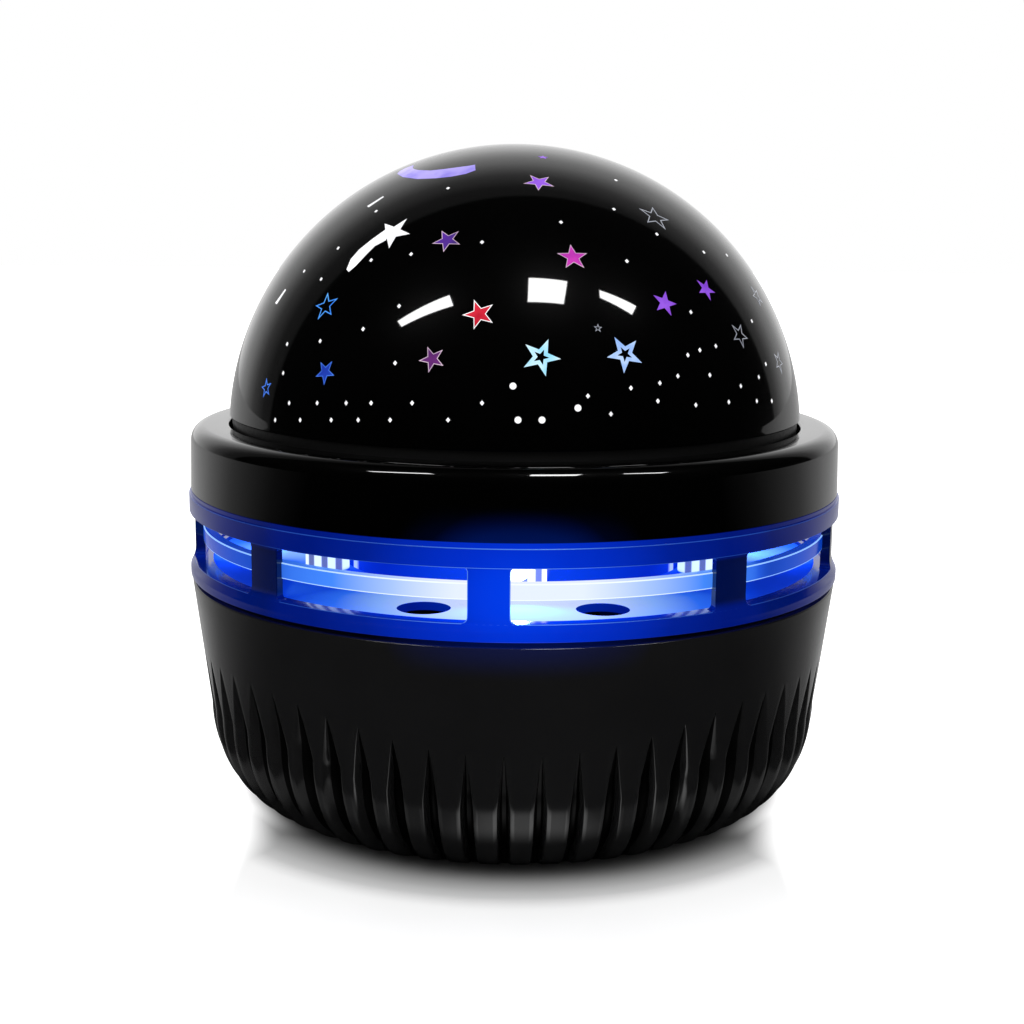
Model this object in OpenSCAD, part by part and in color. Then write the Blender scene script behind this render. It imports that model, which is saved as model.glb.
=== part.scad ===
// Star night light projector: a dome of stars that turns over a lamp board, on a rim,
// a lit band with windows and a fluted bowl. Millimetres, +Z up, the front faces -Y.
// The origin is the middle of the circle that the feet stand on.

/* [Base bowl] */
// Height of the bowl from its flat underside to its top edge
base_h = 43.9; // [40:0.5:56]
// Inset of the bowl's top edge from the band's flange
base_inset = 0.3; // [0:0.1:1.5]
// Taper of the straight wall, from its top edge down to the rounded corner
base_taper = 3.1; // [1:0.1:5]
// Height of the rounded bottom corner
corner_h = 19; // [15:0.5:22]
// Width of the rounded bottom corner
corner_w = 12.5; // [10:0.5:14]
// Wall thickness of the bowl
base_wall = 2.6; // [2.2:0.1:3.2]
// Thickness of the ledge that the bottom cover lies against
ledge_t = 1.9; // [1.2:0.1:3]
// Width of the ledge that the bottom cover lies against
ledge_w = 1.8; // [1:0.1:3]
// Height of the lip above the bowl's top edge
lip_rise = 1.3; // [1.1:0.1:1.8]
// Wall thickness of the lip
lip_wall = 1.8; // [1.2:0.1:2.5]
// Number of flutes round the bowl
flute_count = 60; // [24:1:64]
// Turn of the flutes from the front line, in degrees
flute_turn = 1.3; // [0:0.1:6]
// Height of the flutes' pointed tips above the bowl's underside
flute_top = 23.7; // [20:0.5:26]
// Lean of a flute's floor from the vertical, in degrees
flute_lean = 13.5; // [12:0.25:14]
// Width of a flute
flute_w = 2.6; // [1.5:0.1:3]
// Depth at which a flute has its full width
flute_vee = 1; // [0.6:0.1:1.4]

/* [Light band] */
// Distance that the band's flanges stand out past the dome
body_margin = 8; // [7.5:0.1:14]
// Gap between the bowl's top edge and the band
seam_gap = 1; // [0.4:0.1:1.2]
// Step from the flange in to the band's recessed wall
band_step = 1; // [0.5:0.1:1.4]
// Thickness of the recessed wall
band_wall = 1.8; // [1.4:0.1:2.4]
// Height of the window sills above the band's lower edge
sill_h = 3; // [2.6:0.1:4.5]
// Height of the windows
window_h = 9.6; // [7.5:0.1:12]
// Corner radius of the windows
window_corner = 0.9; // [0.3:0.1:1.5]
// Number of windows
window_count = 9; // [5:1:12]
// Width of the post between two windows, in degrees
post_angle = 6.5; // [4:0.5:10]
// Turn of the posts from the front line, in degrees
post_turn = 3.7; // [0:0.1:10]
// Height of the top flange
flange_h = 3.4; // [2.5:0.1:5]
// Height of the neck between the flange and the rim
neck_h = 0.8; // [0.4:0.1:1.5]
// Height of the lower flange's straight part
skirt_h = 1.5; // [0.8:0.1:2]
// Height of the rib inside the windows
rib_h = 2.9; // [2:0.1:4]
// Height of the rib above the window sills
rib_lift = 3.6; // [3:0.1:4.2]
// Thickness of the rib
rib_t = 2; // [1.2:0.1:3]
// Height of the spigot that centres the rim
spigot_h = 1.3; // [0.8:0.1:1.4]

/* [Rim] */
// Height of the rim from the band to its shelf
rim_h = 12.5; // [10.5:0.1:14]
// Inset of the rim's wall from the band's flange
rim_inset = 0.4; // [0.1:0.1:1.5]
// Radius of the fillet between wall and shelf
rim_fillet = 3; // [3:0.1:5.5]
// Wall thickness of the rim
rim_wall = 2.2; // [1.6:0.1:2.4]
// Gap between the shelf and the turning collar
shelf_gap = 0.7; // [0.4:0.1:1.2]
// Thickness of the rim's inner floor
rim_floor_t = 2; // [1.5:0.1:2.4]
// Height of the rim floor above the band
rim_floor_lift = 1.5; // [1.5:0.1:2]
// Width of the rim floor inside the screw pillars
rim_floor_edge = 0.3; // [0.2:0.1:2]

/* [Dome and turntable] */
// Outer radius of the dome
dome_r = 57; // [52:0.25:64]
// Wall thickness of the dome
dome_wall = 2.2; // [1.5:0.1:3]
// Height of the dome's edge above the centre of its sphere
dome_drop = 4.25; // [2:0.25:8]
// Height of the dome's edge above the shelf
collar_rise = 1.6; // [1.5:0.1:5]
// Inset of the collar from the dome's edge
collar_inset = 0.6; // [0.3:0.1:1.5]
// Height of the collar from the turntable's underside to the dome's edge
collar_h = 6.6; // [6:0.1:7.5]
// Height of the spigot that goes up into the dome
dome_spigot_h = 3.5; // [2:0.1:6]
// Wall thickness of that spigot
dome_spigot_wall = 1.8; // [1.2:0.1:3]
// Thickness of the turntable plate
plate_t = 2; // [1.5:0.1:2.5]
// Number of ribs on the turntable plate
plate_rib_count = 6; // [3:1:12]
// Height of the ribs on the turntable plate
plate_rib_h = 1.6; // [1:0.1:3]
// Thickness of the ribs on the turntable plate
plate_rib_t = 1.6; // [1:0.1:3]
// Wall thickness of the turntable's hub
hub_wall = 2.2; // [1.8:0.1:2.6]
// Height of the hub
hub_h = 12; // [11.5:0.1:12.4]

/* [Drum and column] */
// Gap round the motor in the deck's middle opening
motor_gap = 0.7; // [0.5:0.1:1.5]
// Width of the deck's edge inside the housing screws
deck_land = 2; // [1.8:0.1:3]
// Wall thickness of the drum
drum_wall = 2; // [1.5:0.1:2.2]
// Height of the drum above the deck
drum_h = 12.4; // [12:0.1:13]
// Thickness of the drum's top
drum_top_t = 1.6; // [1.4:0.1:2]
// Wall thickness of the column
column_wall = 2.7; // [2.2:0.1:3.5]
// Height of the column above the snap ring
column_end = 1.9; // [1.5:0.1:4]
// Thickness of the washer under the hub
washer_t = 1; // [0.8:0.1:1.2]
// Thickness of the snap ring over the hub
ring_t = 1; // [0.8:0.1:1.2]
// Depth of the snap ring's groove
ring_groove = 0.8; // [0.5:0.1:1.2]
// Opening of the snap ring, in degrees
ring_open = 40; // [20:1:60]

/* [Deck and case screws] */
// Thickness of the deck
deck_t = 1.6; // [1.4:0.1:2]
// Gap between the drum and the screw pillars
pillar_gap = 1.8; // [1.5:0.1:3]
// Angle of the case screws from the X axis, in degrees
pillar_angle = 29; // [20:1:33]
// Outer radius of the screw pillars
pillar_r = 4.2; // [3.8:0.1:4.4]
// Width of the deck outside its vent holes
vent_margin = 6; // [4:0.5:8]
// Radius of the deck's vent holes
vent_r = 4.8; // [2:0.1:6]
// Angle of the vent holes from the front line, in degrees
vent_angle = 18; // [12:1:22]
// Shank radius of the case screws
case_screw_r = 1.5; // [1.25:0.05:1.75]
// Head radius of the case screws
case_head_r = 2.75; // [2.4:0.05:3]
// Head height of the case screws
case_head_h = 2.2; // [1.5:0.1:3]
// Depth that the case screw heads lie below the deck
head_depth = 6; // [4:0.5:12]
// Length of the pillars that carry the screws under the deck
post_h = 38; // [20:1:38]

/* [Gears] */
// Module of the slow gear pair
slow_module = 1; // [0.9:0.05:1]
// Teeth of the gear under the turntable
table_teeth = 34; // [34:1:36]
// Teeth of the small wheel that drives it
small_teeth = 12; // [12:1:14]
// Module of the fast gear pair
fast_module = 0.5; // [0.45:0.01:0.5]
// Teeth of the large reduction wheel
wheel_teeth = 30; // [26:1:30]
// Teeth of the motor's pinion
pinion_teeth = 12; // [12:1:14]
// Clearance between the flanks of meshing teeth
backlash = 0.16; // [0.1:0.01:0.3]
// Height of the gear under the turntable
table_gear_h = 4.5; // [3:0.1:5]
// Height of the large reduction wheel
wheel_h = 2.1; // [1.5:0.1:2.4]
// Height of the motor's pinion
pinion_h = 1.8; // [1.2:0.1:2]
// Radius of the pin that the reduction wheel turns on
pin_r = 1.5; // [1:0.05:2]

/* [Motor] */
// Width of the motor, in the radial direction
motor_w = 10; // [9:0.1:10.4]
// Breadth of the motor, across the radial direction
motor_b = 12; // [11:0.1:12.4]
// Length of the motor's gearbox
gearbox_l = 9; // [7:0.5:12]
// Length of the motor's can
can_l = 15; // [12:0.5:18]
// Radius of the motor's shaft
shaft_r = 1.5; // [1:0.05:1.6]
// Distance between the motor's two screws
motor_screw_gap = 9; // [8.5:0.1:9.4]
// Shank radius of the small screws
small_screw_r = 0.8; // [0.6:0.05:1]

/* [Lamps] */
// Distance that the lamp board stands out past the column
lamp_board_lap = 0.8; // [0.2:0.1:1.2]
// Thickness of the circuit boards
board_t = 1.6; // [1:0.1:1.8]
// Radius of the LED bodies
led_r = 2.5; // [1.5:0.1:2.6]
// Length of a LED from its board to its tip
led_l = 6.5; // [5:0.1:9]
// Distance of the projector LEDs from the X and Y axes
led_offset = 4.4; // [3.4:0.1:4.6]
// Height of the side LEDs above the deck
side_led_z = 5.7; // [4.8:0.1:6.4]
// Turn of the side LEDs from the front line, in degrees
side_led_turn = 0.9; // [0:0.1:5]
// Width of the side LED boards
side_board_w = 11; // [8:0.5:14]
// Height of the side LED boards
side_board_h = 8.4; // [6:0.1:9]

/* [Battery bay] */
// Diameter of a cell
cell_d = 10.5; // [10:0.1:10.5]
// Length of a cell over its nub
cell_l = 44.5; // [43:0.1:45]
// Number of cells side by side
cell_count = 4; // [2:1:4]
// Gap between two cells
cell_gap = 0.3; // [0.2:0.05:0.5]
// Length of the room for the springs and contacts
spring_room = 6.5; // [5:0.1:7]
// Wall thickness of the battery bay
bay_wall = 1.6; // [1.2:0.1:2]
// Thickness of the bottom cover
cover_t = 2.4; // [2.2:0.1:3]
// Thickness of the battery door
door_t = 1.6; // [1.2:0.1:1.8]
// Margin between the door and the bay's inside
door_lap = 0.9; // [0.6:0.1:1.2]
// Thickness of a contact plate
contact_t = 0.4; // [0.2:0.05:0.6]
// Radius of the spring wire
wire_r = 0.35; // [0.2:0.05:0.5]
// Distance of the cover screws from the cover's edge
cover_screw_inset = 4.5; // [4:0.1:5]
// Angle of the cover screws from the X axis, in degrees
cover_screw_angle = 53; // [50:1:58]
// Shank radius of the cover screws
cover_screw_r = 1.25; // [1:0.05:1.5]

/* [Feet] */
// Radius of the rubber feet
foot_r = 5; // [3.5:0.1:5.5]
// Thickness of the rubber feet
foot_t = 1.6; // [1.3:0.1:2]
// Distance that the feet stand out below the cover
foot_proud = 0.8; // [0.5:0.1:1]
// Distance of the feet from the cover's edge
foot_inset = 8; // [6:0.5:9]

/* [Boards and buttons] */
// Length of the main board
main_board_l = 60; // [56:1:62]
// Width of the main board
main_board_w = 32; // [30:1:34]
// Height of the posts under the main board
board_post_h = 3.1; // [2:0.1:4]
// Distance of the button board from the band's flange, at the back
panel_inset = 16.5; // [16.5:0.25:17.5]
// Length of the button board
panel_l = 48; // [46:1:50]
// Height of the button board
panel_h = 16.7; // [16:0.1:17]
// Height of the button board's middle below the bowl's top edge
panel_drop = 10.8; // [10.5:0.1:11.5]
// Radius of the buttons
button_r = 3.4; // [2.5:0.1:3.5]
// Distance between two buttons
button_pitch = 11; // [10.5:0.1:11.5]
// Height of the buttons above the button board's middle
button_lift = 3.6; // [3.2:0.1:4]
// Distance that the buttons stand out of the wall
button_proud = 0.8; // [0.4:0.1:1.5]
// Travel of the buttons
button_travel = 0.5; // [0.3:0.05:0.8]
// Width of a tact switch
tact_w = 6; // [4:0.1:6.2]
// Height of a tact switch's body
tact_h = 3.5; // [3:0.1:4]
// Height of a tact switch's plunger
tact_tip = 0.8; // [0.5:0.1:1.2]
// Width of the charging socket
socket_w = 8.9; // [7:0.1:9]
// Thickness of the charging socket
socket_h = 3.3; // [2.5:0.1:3.6]
// Length of the charging socket
socket_l = 8.2; // [7.5:0.1:8.4]
// Height of the socket below the button board's middle
socket_drop = 5.4; // [5:0.1:6]
// Width of the recess round the charging socket
recess_w = 12; // [11:0.5:14]
// Height of the recess round the charging socket
recess_h = 7; // [6:0.1:7.2]

/* [Fits] */
// Radial clearance of a turning shaft in its bore
running = 0.05; // [0.02:0.01:0.09]
// Axial clearance of a turning part
end_play = 0.05; // [0.02:0.01:0.1]
// Clearance between casing parts that slip into each other
slip = 0.2; // [0.1:0.05:0.3]
// Radial clearance of a button in its guide
button_fit = 0.15; // [0.1:0.05:0.25]
// Clearance of a screw in a through hole
screw_fit = 0.2; // [0.1:0.05:0.3]

/* [Hidden] */
$fn = 96;
cut = 0.5;
arc_steps = 14;

// Heights, from the floor up
base_z0 = foot_proud;
base_top_z = base_z0 + base_h;
corner_z = base_z0 + corner_h;
deck_z0 = base_top_z + lip_rise;
deck_z1 = deck_z0 + deck_t;
band_z0 = base_top_z + seam_gap;
sill_z = band_z0 + sill_h;
window_z1 = sill_z + window_h;
flange_z1 = window_z1 + flange_h;
rim_z0 = flange_z1 + neck_h;
rim_floor_z = rim_z0 + rim_floor_lift;
shelf_z = rim_z0 + rim_h;
dome_z0 = shelf_z + collar_rise;
dome_cz = dome_z0 - dome_drop;
table_z0 = dome_z0 - collar_h;
drum_z1 = deck_z1 + drum_h;
hub_z0 = drum_z1 + washer_t + end_play;
ring_z0 = hub_z0 + hub_h + end_play;
column_z1 = ring_z0 + ring_t + column_end;

cover_edge = 3.1;

// Gear train, hub and column
pressure = 20;
root_depth = 1.25;
tip_height = 0.9;
gear_rim = 1.35;
slow_distance = slow_module * (table_teeth + small_teeth) / 2;
fast_distance = fast_module * (wheel_teeth + pinion_teeth) / 2;
gear_turn = 2 * asin(fast_distance / (2 * slow_distance));
hub_r = slow_module * (table_teeth / 2 - root_depth) - gear_rim;
column_r = hub_r - hub_wall;
lamp_board_r = column_r + lamp_board_lap;

// Drum and pillars, from the motor out
boss_inset = 1.7;
motor_reach = sqrt(pow(slow_distance + motor_w / 2, 2) + pow(motor_b / 2, 2));
deck_hole_r = motor_reach + motor_gap;
housing_ring_r = deck_hole_r + deck_land;
drum_in_r = housing_ring_r + boss_inset;
drum_r = drum_in_r + drum_wall;
pillar_ring_r = drum_r + pillar_gap + pillar_r;
rim_floor_r = pillar_ring_r - pillar_r - rim_floor_edge;

// Radii, from the outside in
body_r = dome_r + body_margin;
base_top_r = body_r - base_inset;
base_shoulder_r = base_top_r - base_taper;
base_flat_r = base_shoulder_r - corner_w;
cover_r = base_flat_r - cover_edge;
ledge_r = cover_r - ledge_w;
foot_ring_r = cover_r - foot_inset;
cover_screw_ring_r = cover_r - cover_screw_inset;
panel_y = body_r - panel_inset;
band_r = body_r - band_step;
band_in_r = band_r - band_wall;
lip_r = band_in_r - slip;
lip_in_r = lip_r - lip_wall;
deck_r = band_in_r - 2 * slip;
vent_ring_r = deck_r - vent_margin - vent_r;
rim_r = body_r - rim_inset;
rim_in_r = rim_r - rim_wall;
dome_in_r = dome_r - dome_wall;
dome_edge_r = sqrt(pow(dome_r, 2) - pow(dome_drop, 2));
collar_r = dome_edge_r - collar_inset;
shelf_r = collar_r + shelf_gap;
spigot_top_r = sqrt(pow(dome_in_r, 2) - pow(dome_drop + dome_spigot_h, 2));
dome_spigot_r = spigot_top_r - 1.5 * slip;
column_in_r = column_r - column_wall;

table_gear_z0 = table_z0 - table_gear_h;
wheel_boss_h = washer_t;
wheel_boss_r = pin_r + 1.1;
wheel_z0 = drum_z1 + wheel_boss_h + 2 * end_play;
wheel_z1 = wheel_z0 + wheel_h;
small_z1 = table_z0 - 0.5;
pinion_z0 = wheel_z0 + 0.2;
pinion_z1 = pinion_z0 + pinion_h;
motor_z1 = drum_z1 - drum_top_t;
can_z1 = motor_z1 - gearbox_l;
motor_z0 = can_z1 - can_l;
shaft_z1 = pinion_z1 + 1;
shaft_seat = 1.5;
screw_seat = 3;

// Battery bay
cell_r = cell_d / 2;
cell_pitch = cell_d + cell_gap;
bay_l = cell_l + spring_room;
bay_w = cell_count * cell_pitch + cell_gap;
door_l = bay_l + 2 * door_lap;
door_w = bay_w + 2 * door_lap;
door_z1 = base_z0 + door_t;
cell_z = door_z1 + 0.6 + cell_r;
bay_z1 = cell_z + cell_r + 0.4;
bay_roof_z = bay_z1 + bay_wall;
board_z0 = bay_roof_z + board_post_h;
board_z1 = board_z0 + board_t;
board_post_x = bay_l / 2;
board_post_y = main_board_w / 2 - 3;
connector_h = 3;
connector_w = 7;
chip_x = 22;
chip_y = 9;
chip_w = 11;
chip_h = 1.8;
driver_x = 7;
driver_y = 5;
driver_w = 6;
can_x = 10;
can_r = 3.2;
can_h = 8;
spring_r = cell_r - 1.85;
spring_tip_r = 2.2;
contact_w = cell_d - 2.5;
end_x = bay_l / 2 - contact_t;

// Cover screws and feet
cover_z1 = base_z0 + cover_t;
cover_boss_r = 3.6;
cover_boss_z1 = cover_z1 + 7.8;
cover_head_r = 2.4;
cover_head_h = 1.2;
cover_screw_l = 6.5;
cover_head_z = base_z0 + 0.15;

// Buttons, board and socket at the back
panel_z = base_top_z - panel_drop;
button_z = panel_z + button_lift;
socket_z = panel_z - socket_drop;
panel_y1 = panel_y + board_t;
tact_y1 = panel_y1 + tact_h;
flange_y0 = tact_y1 + tact_tip + button_travel + 0.1;
flange_y1 = flange_y0 + 1;
button_flange_r = button_r + 1;
guide_r = button_r + 1.8;
guide_y0 = flange_y1 + end_play;
recess_y = panel_y1 + socket_l + slip;
recess_wall = 1.5;
panel_screw_x = panel_l / 2 - 3.5;
panel_boss_r = 3;
button_count = 4;
back_y = body_r + 5;

// Small parts
lamp_screw_x = column_r - column_wall / 2 - 1.3;
side_pad_r = drum_r + 1;
side_board_t = 1.2;
housing_boss_r = 2.4;
housing_screw_angles = [45, 165, 285];
head_z = deck_z0 - head_depth;
post_z0 = deck_z0 - post_h;
rim_boss_h = table_z0 - rim_floor_z - rim_floor_t - 1;
case_screw_z1 = rim_floor_z + rim_floor_t + rim_boss_h - 0.5;
snap_ring_r = hub_r - 0.9;
ribbon_x = -8;
ribbon_y = main_board_w / 2 - 1.6;
ribbon_z = panel_z - 6;
ribbon_w = 8;
ribbon_t = 0.8;
lead_r = 1.6;
motor_lead_r = 1;

black_gloss = [0.02, 0.02, 0.022];
black_matt = [0.07, 0.07, 0.075];
white_part = [0.9, 0.92, 0.95];
board_green = [0.05, 0.28, 0.14];
steel = [0.7, 0.7, 0.72];

// Points of an elliptic arc
function arc(cx, cz, rx, rz, a0, a1) =
  [for (i = [0:arc_steps]) let (a = a0 + (a1 - a0) * i / arc_steps) [cx + rx * cos(a), cz + rz * sin(a)]];

// Radius of the bowl's straight wall at a height
function wall_r(z) = base_shoulder_r + base_taper * (z - corner_z) / (base_top_z - corner_z);

// Angles of the four cover screws
function cover_angles() =
  [cover_screw_angle, 180 - cover_screw_angle, 180 + cover_screw_angle, 360 - cover_screw_angle];

// Angles of the four case screws
function pillar_angles() = [pillar_angle, 180 - pillar_angle, 180 + pillar_angle, 360 - pillar_angle];

// Involute of the base circle rb at radius r, in degrees
function involute(rb, r) = let (a = acos(min(1, rb / r))) tan(a) * 180 / PI - a;

// Half angle of a tooth at radius r
function tooth_half(teeth, m, r) =
  let (rp = teeth * m / 2, rb = rp * cos(pressure))
  90 / teeth - backlash / 4 / rp * 180 / PI + involute(rb, rp) - involute(rb, max(r, rb));

// Outline of a spur gear with its first tooth centred on the X axis
function gear_outline(teeth, m) =
  let (
    rp = teeth * m / 2,
    root = rp - root_depth * m,
    tip = rp + tip_height * m,
    rb = rp * cos(pressure),
    low = max(root, rb),
    flank = [root, for (i = [0:4]) low + (tip - low) * i / 4]
  )
  [for (t = [0:teeth - 1]) let (c = 360 * t / teeth)
    each concat(
      [for (r = flank) let (a = c - tooth_half(teeth, m, r)) [r * cos(a), r * sin(a)]],
      [for (i = [len(flank) - 1:-1:0]) let (r = flank[i], a = c + tooth_half(teeth, m, r)) [r * cos(a), r * sin(a)]]
    )];

module ring(r_out, r_in, h) {
  difference() {
    cylinder(r = r_out, h = h);
    translate([0, 0, -cut]) cylinder(r = r_in, h = h + 2 * cut);
  }
}

module around(angles, r) {
  for (a = angles) rotate([0, 0, a]) translate([r, 0, 0]) children();
}

// A screw along +Z: the head lies below z = 0, with a cross recess in it
module screw(shank_r, head_r, head_h, length) {
  slot_w = head_r / 3;
  difference() {
    union() {
      translate([0, 0, -head_h]) cylinder(r = head_r, h = head_h);
      cylinder(r = shank_r, h = length);
    }
    for (turn = [0, 90]) rotate([0, 0, turn])
      translate([-0.7 * head_r, -slot_w / 2, -head_h - cut]) cube([1.4 * head_r, slot_w, cut + head_h / 2]);
  }
}

module bowl_envelope() {
  rotate_extrude()
    polygon(concat(
      [[0, base_z0]],
      arc(base_flat_r, corner_z, corner_w, corner_h, -90, 0),
      [[base_top_r, base_top_z], [0, base_top_z]]
    ));
}

module bowl_shell() {
  in_w = corner_w - base_wall;
  floor_z = cover_z1 + 0.1 + ledge_t;
  lip_z = base_top_z - 3.2;
  neck_z = lip_z - 2;
  rotate_extrude()
    polygon(concat(
      [[cover_r + slip, base_z0]],
      arc(base_flat_r, corner_z, corner_w, corner_h, -90, 0),
      [
        [base_top_r, base_top_z], [lip_r, base_top_z], [lip_r, deck_z0],
        [lip_in_r, deck_z0], [lip_in_r, lip_z], [wall_r(neck_z) - base_wall, neck_z]
      ],
      arc(base_flat_r, corner_z, in_w, corner_z - floor_z, 0, -90),
      [[ledge_r, floor_z], [ledge_r, cover_z1 + 0.1], [cover_r + slip, cover_z1 + 0.1]]
    ));
}

// One flute cutter: a vee floor under parallel sides, along a straight leaning line
module flute() {
  tip_z = base_z0 + flute_top;
  deep = 8;
  lead = 3;
  translate([wall_r(tip_z), 0, tip_z]) rotate([0, 180 + flute_lean, 0]) translate([0, 0, -lead])
    linear_extrude(lead + tip_z / cos(flute_lean))
      polygon([
        [0, 0], [-flute_vee, flute_w / 2], [-deep, flute_w / 2],
        [-deep, -flute_w / 2], [-flute_vee, -flute_w / 2]
      ]);
}

module button_place(i) {
  translate([(i - (button_count - 1) / 2) * button_pitch, 0, button_z]) rotate([-90, 0, 0]) children();
}

// Screw pillar of the bowl, open from below for the screw's head, with its web to the wall
module bowl_post() {
  web_z = deck_z0 - lip_rise - 1;
  difference() {
    union() {
      translate([0, 0, post_z0]) cylinder(r = pillar_r, h = post_h);
      translate([pillar_r - 1, -1, post_z0])
        cube([lip_in_r + 0.5 - pillar_ring_r - pillar_r + 1, 2, web_z - post_z0]);
    }
    translate([0, 0, post_z0 - cut]) cylinder(r = case_head_r + screw_fit, h = head_z - post_z0 + cut);
    translate([0, 0, post_z0]) cylinder(r = case_screw_r + screw_fit, h = post_h + cut);
  }
}

module base_bowl() {
  color(black_matt) difference() {
    union() {
      bowl_shell();
      intersection() {
        bowl_envelope();
        union() {
          around(pillar_angles(), pillar_ring_r) bowl_post();
          for (i = [0:button_count - 1]) button_place(i)
            translate([0, 0, guide_y0]) cylinder(r = guide_r, h = back_y);
          translate([-recess_w / 2 - recess_wall, recess_y - recess_wall, socket_z - recess_h / 2 - recess_wall])
            cube([recess_w + 2 * recess_wall, back_y, recess_h + 2 * recess_wall]);
          for (side = [-1, 1]) translate([side * panel_screw_x, panel_y1, socket_z + 1])
            rotate([-90, 0, 0]) cylinder(r = panel_boss_r, h = back_y);
        }
      }
      around(pillar_angles(), pillar_ring_r) intersection() {
        bowl_post();
        translate([-pillar_r, -pillar_r, base_top_z - 1]) cube([2 * pillar_r, 2 * pillar_r, lip_rise + 1]);
      }
      around(cover_angles(), cover_screw_ring_r) translate([0, 0, cover_z1 + 0.1])
        cylinder(r = cover_boss_r, h = cover_boss_z1 - cover_z1 - 0.1);
    }
    for (i = [0:flute_count - 1]) rotate([0, 0, 270 - flute_turn + 360 * i / flute_count]) flute();
    for (i = [0:button_count - 1]) button_place(i) cylinder(r = button_r + button_fit, h = back_y);
    translate([-recess_w / 2, recess_y, socket_z - recess_h / 2]) cube([recess_w, back_y, recess_h]);
    socket_outline(socket_w + 2 * slip, socket_h + 2 * slip, recess_y - recess_wall - cut, recess_wall + 2 * cut);
    for (side = [-1, 1]) translate([side * panel_screw_x, panel_y1 - cut, socket_z + 1])
      rotate([-90, 0, 0]) cylinder(r = small_screw_r, h = 5.5 + cut);
    around(cover_angles(), cover_screw_ring_r) translate([0, 0, cover_z1])
      cylinder(r = cover_screw_r, h = cover_boss_z1 - cover_z1 - 0.8);
  }
}

module cover_plate() {
  translate([0, 0, base_z0]) cylinder(r = cover_r, h = cover_t);
  translate([-bay_l / 2 - bay_wall, -bay_w / 2 - bay_wall, base_z0])
    cube([bay_l + 2 * bay_wall, bay_w + 2 * bay_wall, bay_roof_z - base_z0]);
  for (x = [-1, 1], y = [-1, 1]) translate([x * board_post_x, y * board_post_y, bay_roof_z])
    cylinder(r = 2.2, h = board_post_h);
}

module bottom_cover() {
  color(black_matt) difference() {
    cover_plate();
    translate([-bay_l / 2, -bay_w / 2, base_z0 - cut]) cube([bay_l, bay_w, bay_z1 - base_z0 + cut]);
    translate([-door_l / 2, -door_w / 2, base_z0 - cut]) cube([door_l, door_w, door_t + 0.1 + cut]);
    around([0, 90, 180, 270], foot_ring_r) translate([0, 0, base_z0 - cut])
      cylinder(r = foot_r + 0.1, h = foot_t - foot_proud + cut);
    around(cover_angles(), cover_screw_ring_r) translate([0, 0, base_z0 - cut]) {
      cylinder(r = cover_head_r + screw_fit, h = cover_head_z - base_z0 + cover_head_h + cut);
      cylinder(r = cover_screw_r + screw_fit, h = cover_t + 2 * cut);
    }
    for (x = [-1, 1], y = [-1, 1]) translate([x * board_post_x, y * board_post_y, bay_roof_z - 0.6])
      cylinder(r = small_screw_r, h = board_post_h + cut + 0.6);
  }
}

module battery_door() {
  fit = 0.2;
  ear_l = 8;
  grip_l = 16;
  color(black_matt) difference() {
    union() {
      translate([-door_l / 2 + fit, -door_w / 2 + fit, base_z0])
        cube([door_l - 2 * fit, door_w - 2 * fit, door_t]);
      for (x = [-1, 1], y = [-1, 1])
        translate([x * bay_l / 4 - ear_l / 2, y * (bay_w / 2 - 0.65) - 0.45, base_z0])
          cube([ear_l, 0.9, door_t + 2]);
    }
    for (i = [0:3]) translate([bay_l / 2 - 3 - 2.4 * i, -grip_l / 2, base_z0 - cut])
      cube([1.2, grip_l, cut + 0.5]);
  }
}

module foot(i) {
  edge = 0.3;
  color([0.1, 0.1, 0.1]) rotate([0, 0, 90 * (i - 1)]) translate([foot_ring_r, 0, 0])
    rotate_extrude() polygon([[0, 0], [foot_r - edge, 0], [foot_r, edge], [foot_r, foot_t], [0, foot_t]]);
}

// Every other cell points the other way
function cell_side(i) = i % 2 == 0 ? 1 : -1;

module cell_place(i) {
  if (i <= cell_count)
    translate([0, (i - (cell_count + 1) / 2) * cell_pitch, cell_z])
      rotate([0, 0, cell_side(i) > 0 ? 0 : 180]) children();
}

module cell(i) {
  nub_r = 1.9;
  nub_l = 1;
  bevel = 0.5;
  color([0.75, 0.6, 0.25]) cell_place(i) translate([end_x - cell_l, 0, 0]) rotate([0, 90, 0])
    rotate_extrude() polygon([
      [0, 0], [cell_r - bevel, 0], [cell_r, bevel], [cell_r, cell_l - nub_l - bevel],
      [cell_r - bevel, cell_l - nub_l], [nub_r, cell_l - nub_l], [nub_r, cell_l], [0, cell_l]
    ]);
}

module contact_plates() {
  color(steel) for (i = [1:cell_count], side = [-1, 1]) cell_place(i)
    translate([side > 0 ? end_x : -end_x - contact_t, -contact_w / 2, -contact_w / 2])
      cube([contact_t, contact_w, contact_w]);
}

// A conical coil from z = 0 to z = length, as a closed tube round its own path
module coil(length, r0, r1, turns) {
  sides = 8;
  steps = 14 * turns;
  points = [for (s = [0:steps], k = [0:sides - 1])
    let (
      a = 360 * turns * s / steps,
      r = r0 + (r1 - r0) * s / steps + wire_r * cos(360 * k / sides),
      z = wire_r + (length - 2 * wire_r) * s / steps + wire_r * sin(360 * k / sides)
    )
    [r * cos(a), r * sin(a), z]];
  walls = [for (s = [0:steps - 1], k = [0:sides - 1])
    let (n = (k + 1) % sides)
    [s * sides + k, s * sides + n, (s + 1) * sides + n, (s + 1) * sides + k]];
  first = [for (k = [sides - 1:-1:0]) k];
  last = [for (k = [0:sides - 1]) steps * sides + k];
  polyhedron(points, concat([first, last], walls), convexity = 6);
}

module contact_springs() {
  room = 2 * end_x - cell_l;
  color(steel) for (i = [1:cell_count]) cell_place(i)
    translate([-end_x, 0, 0]) rotate([0, 90, 0]) coil(room, spring_r, spring_tip_r, 3);
}

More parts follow.
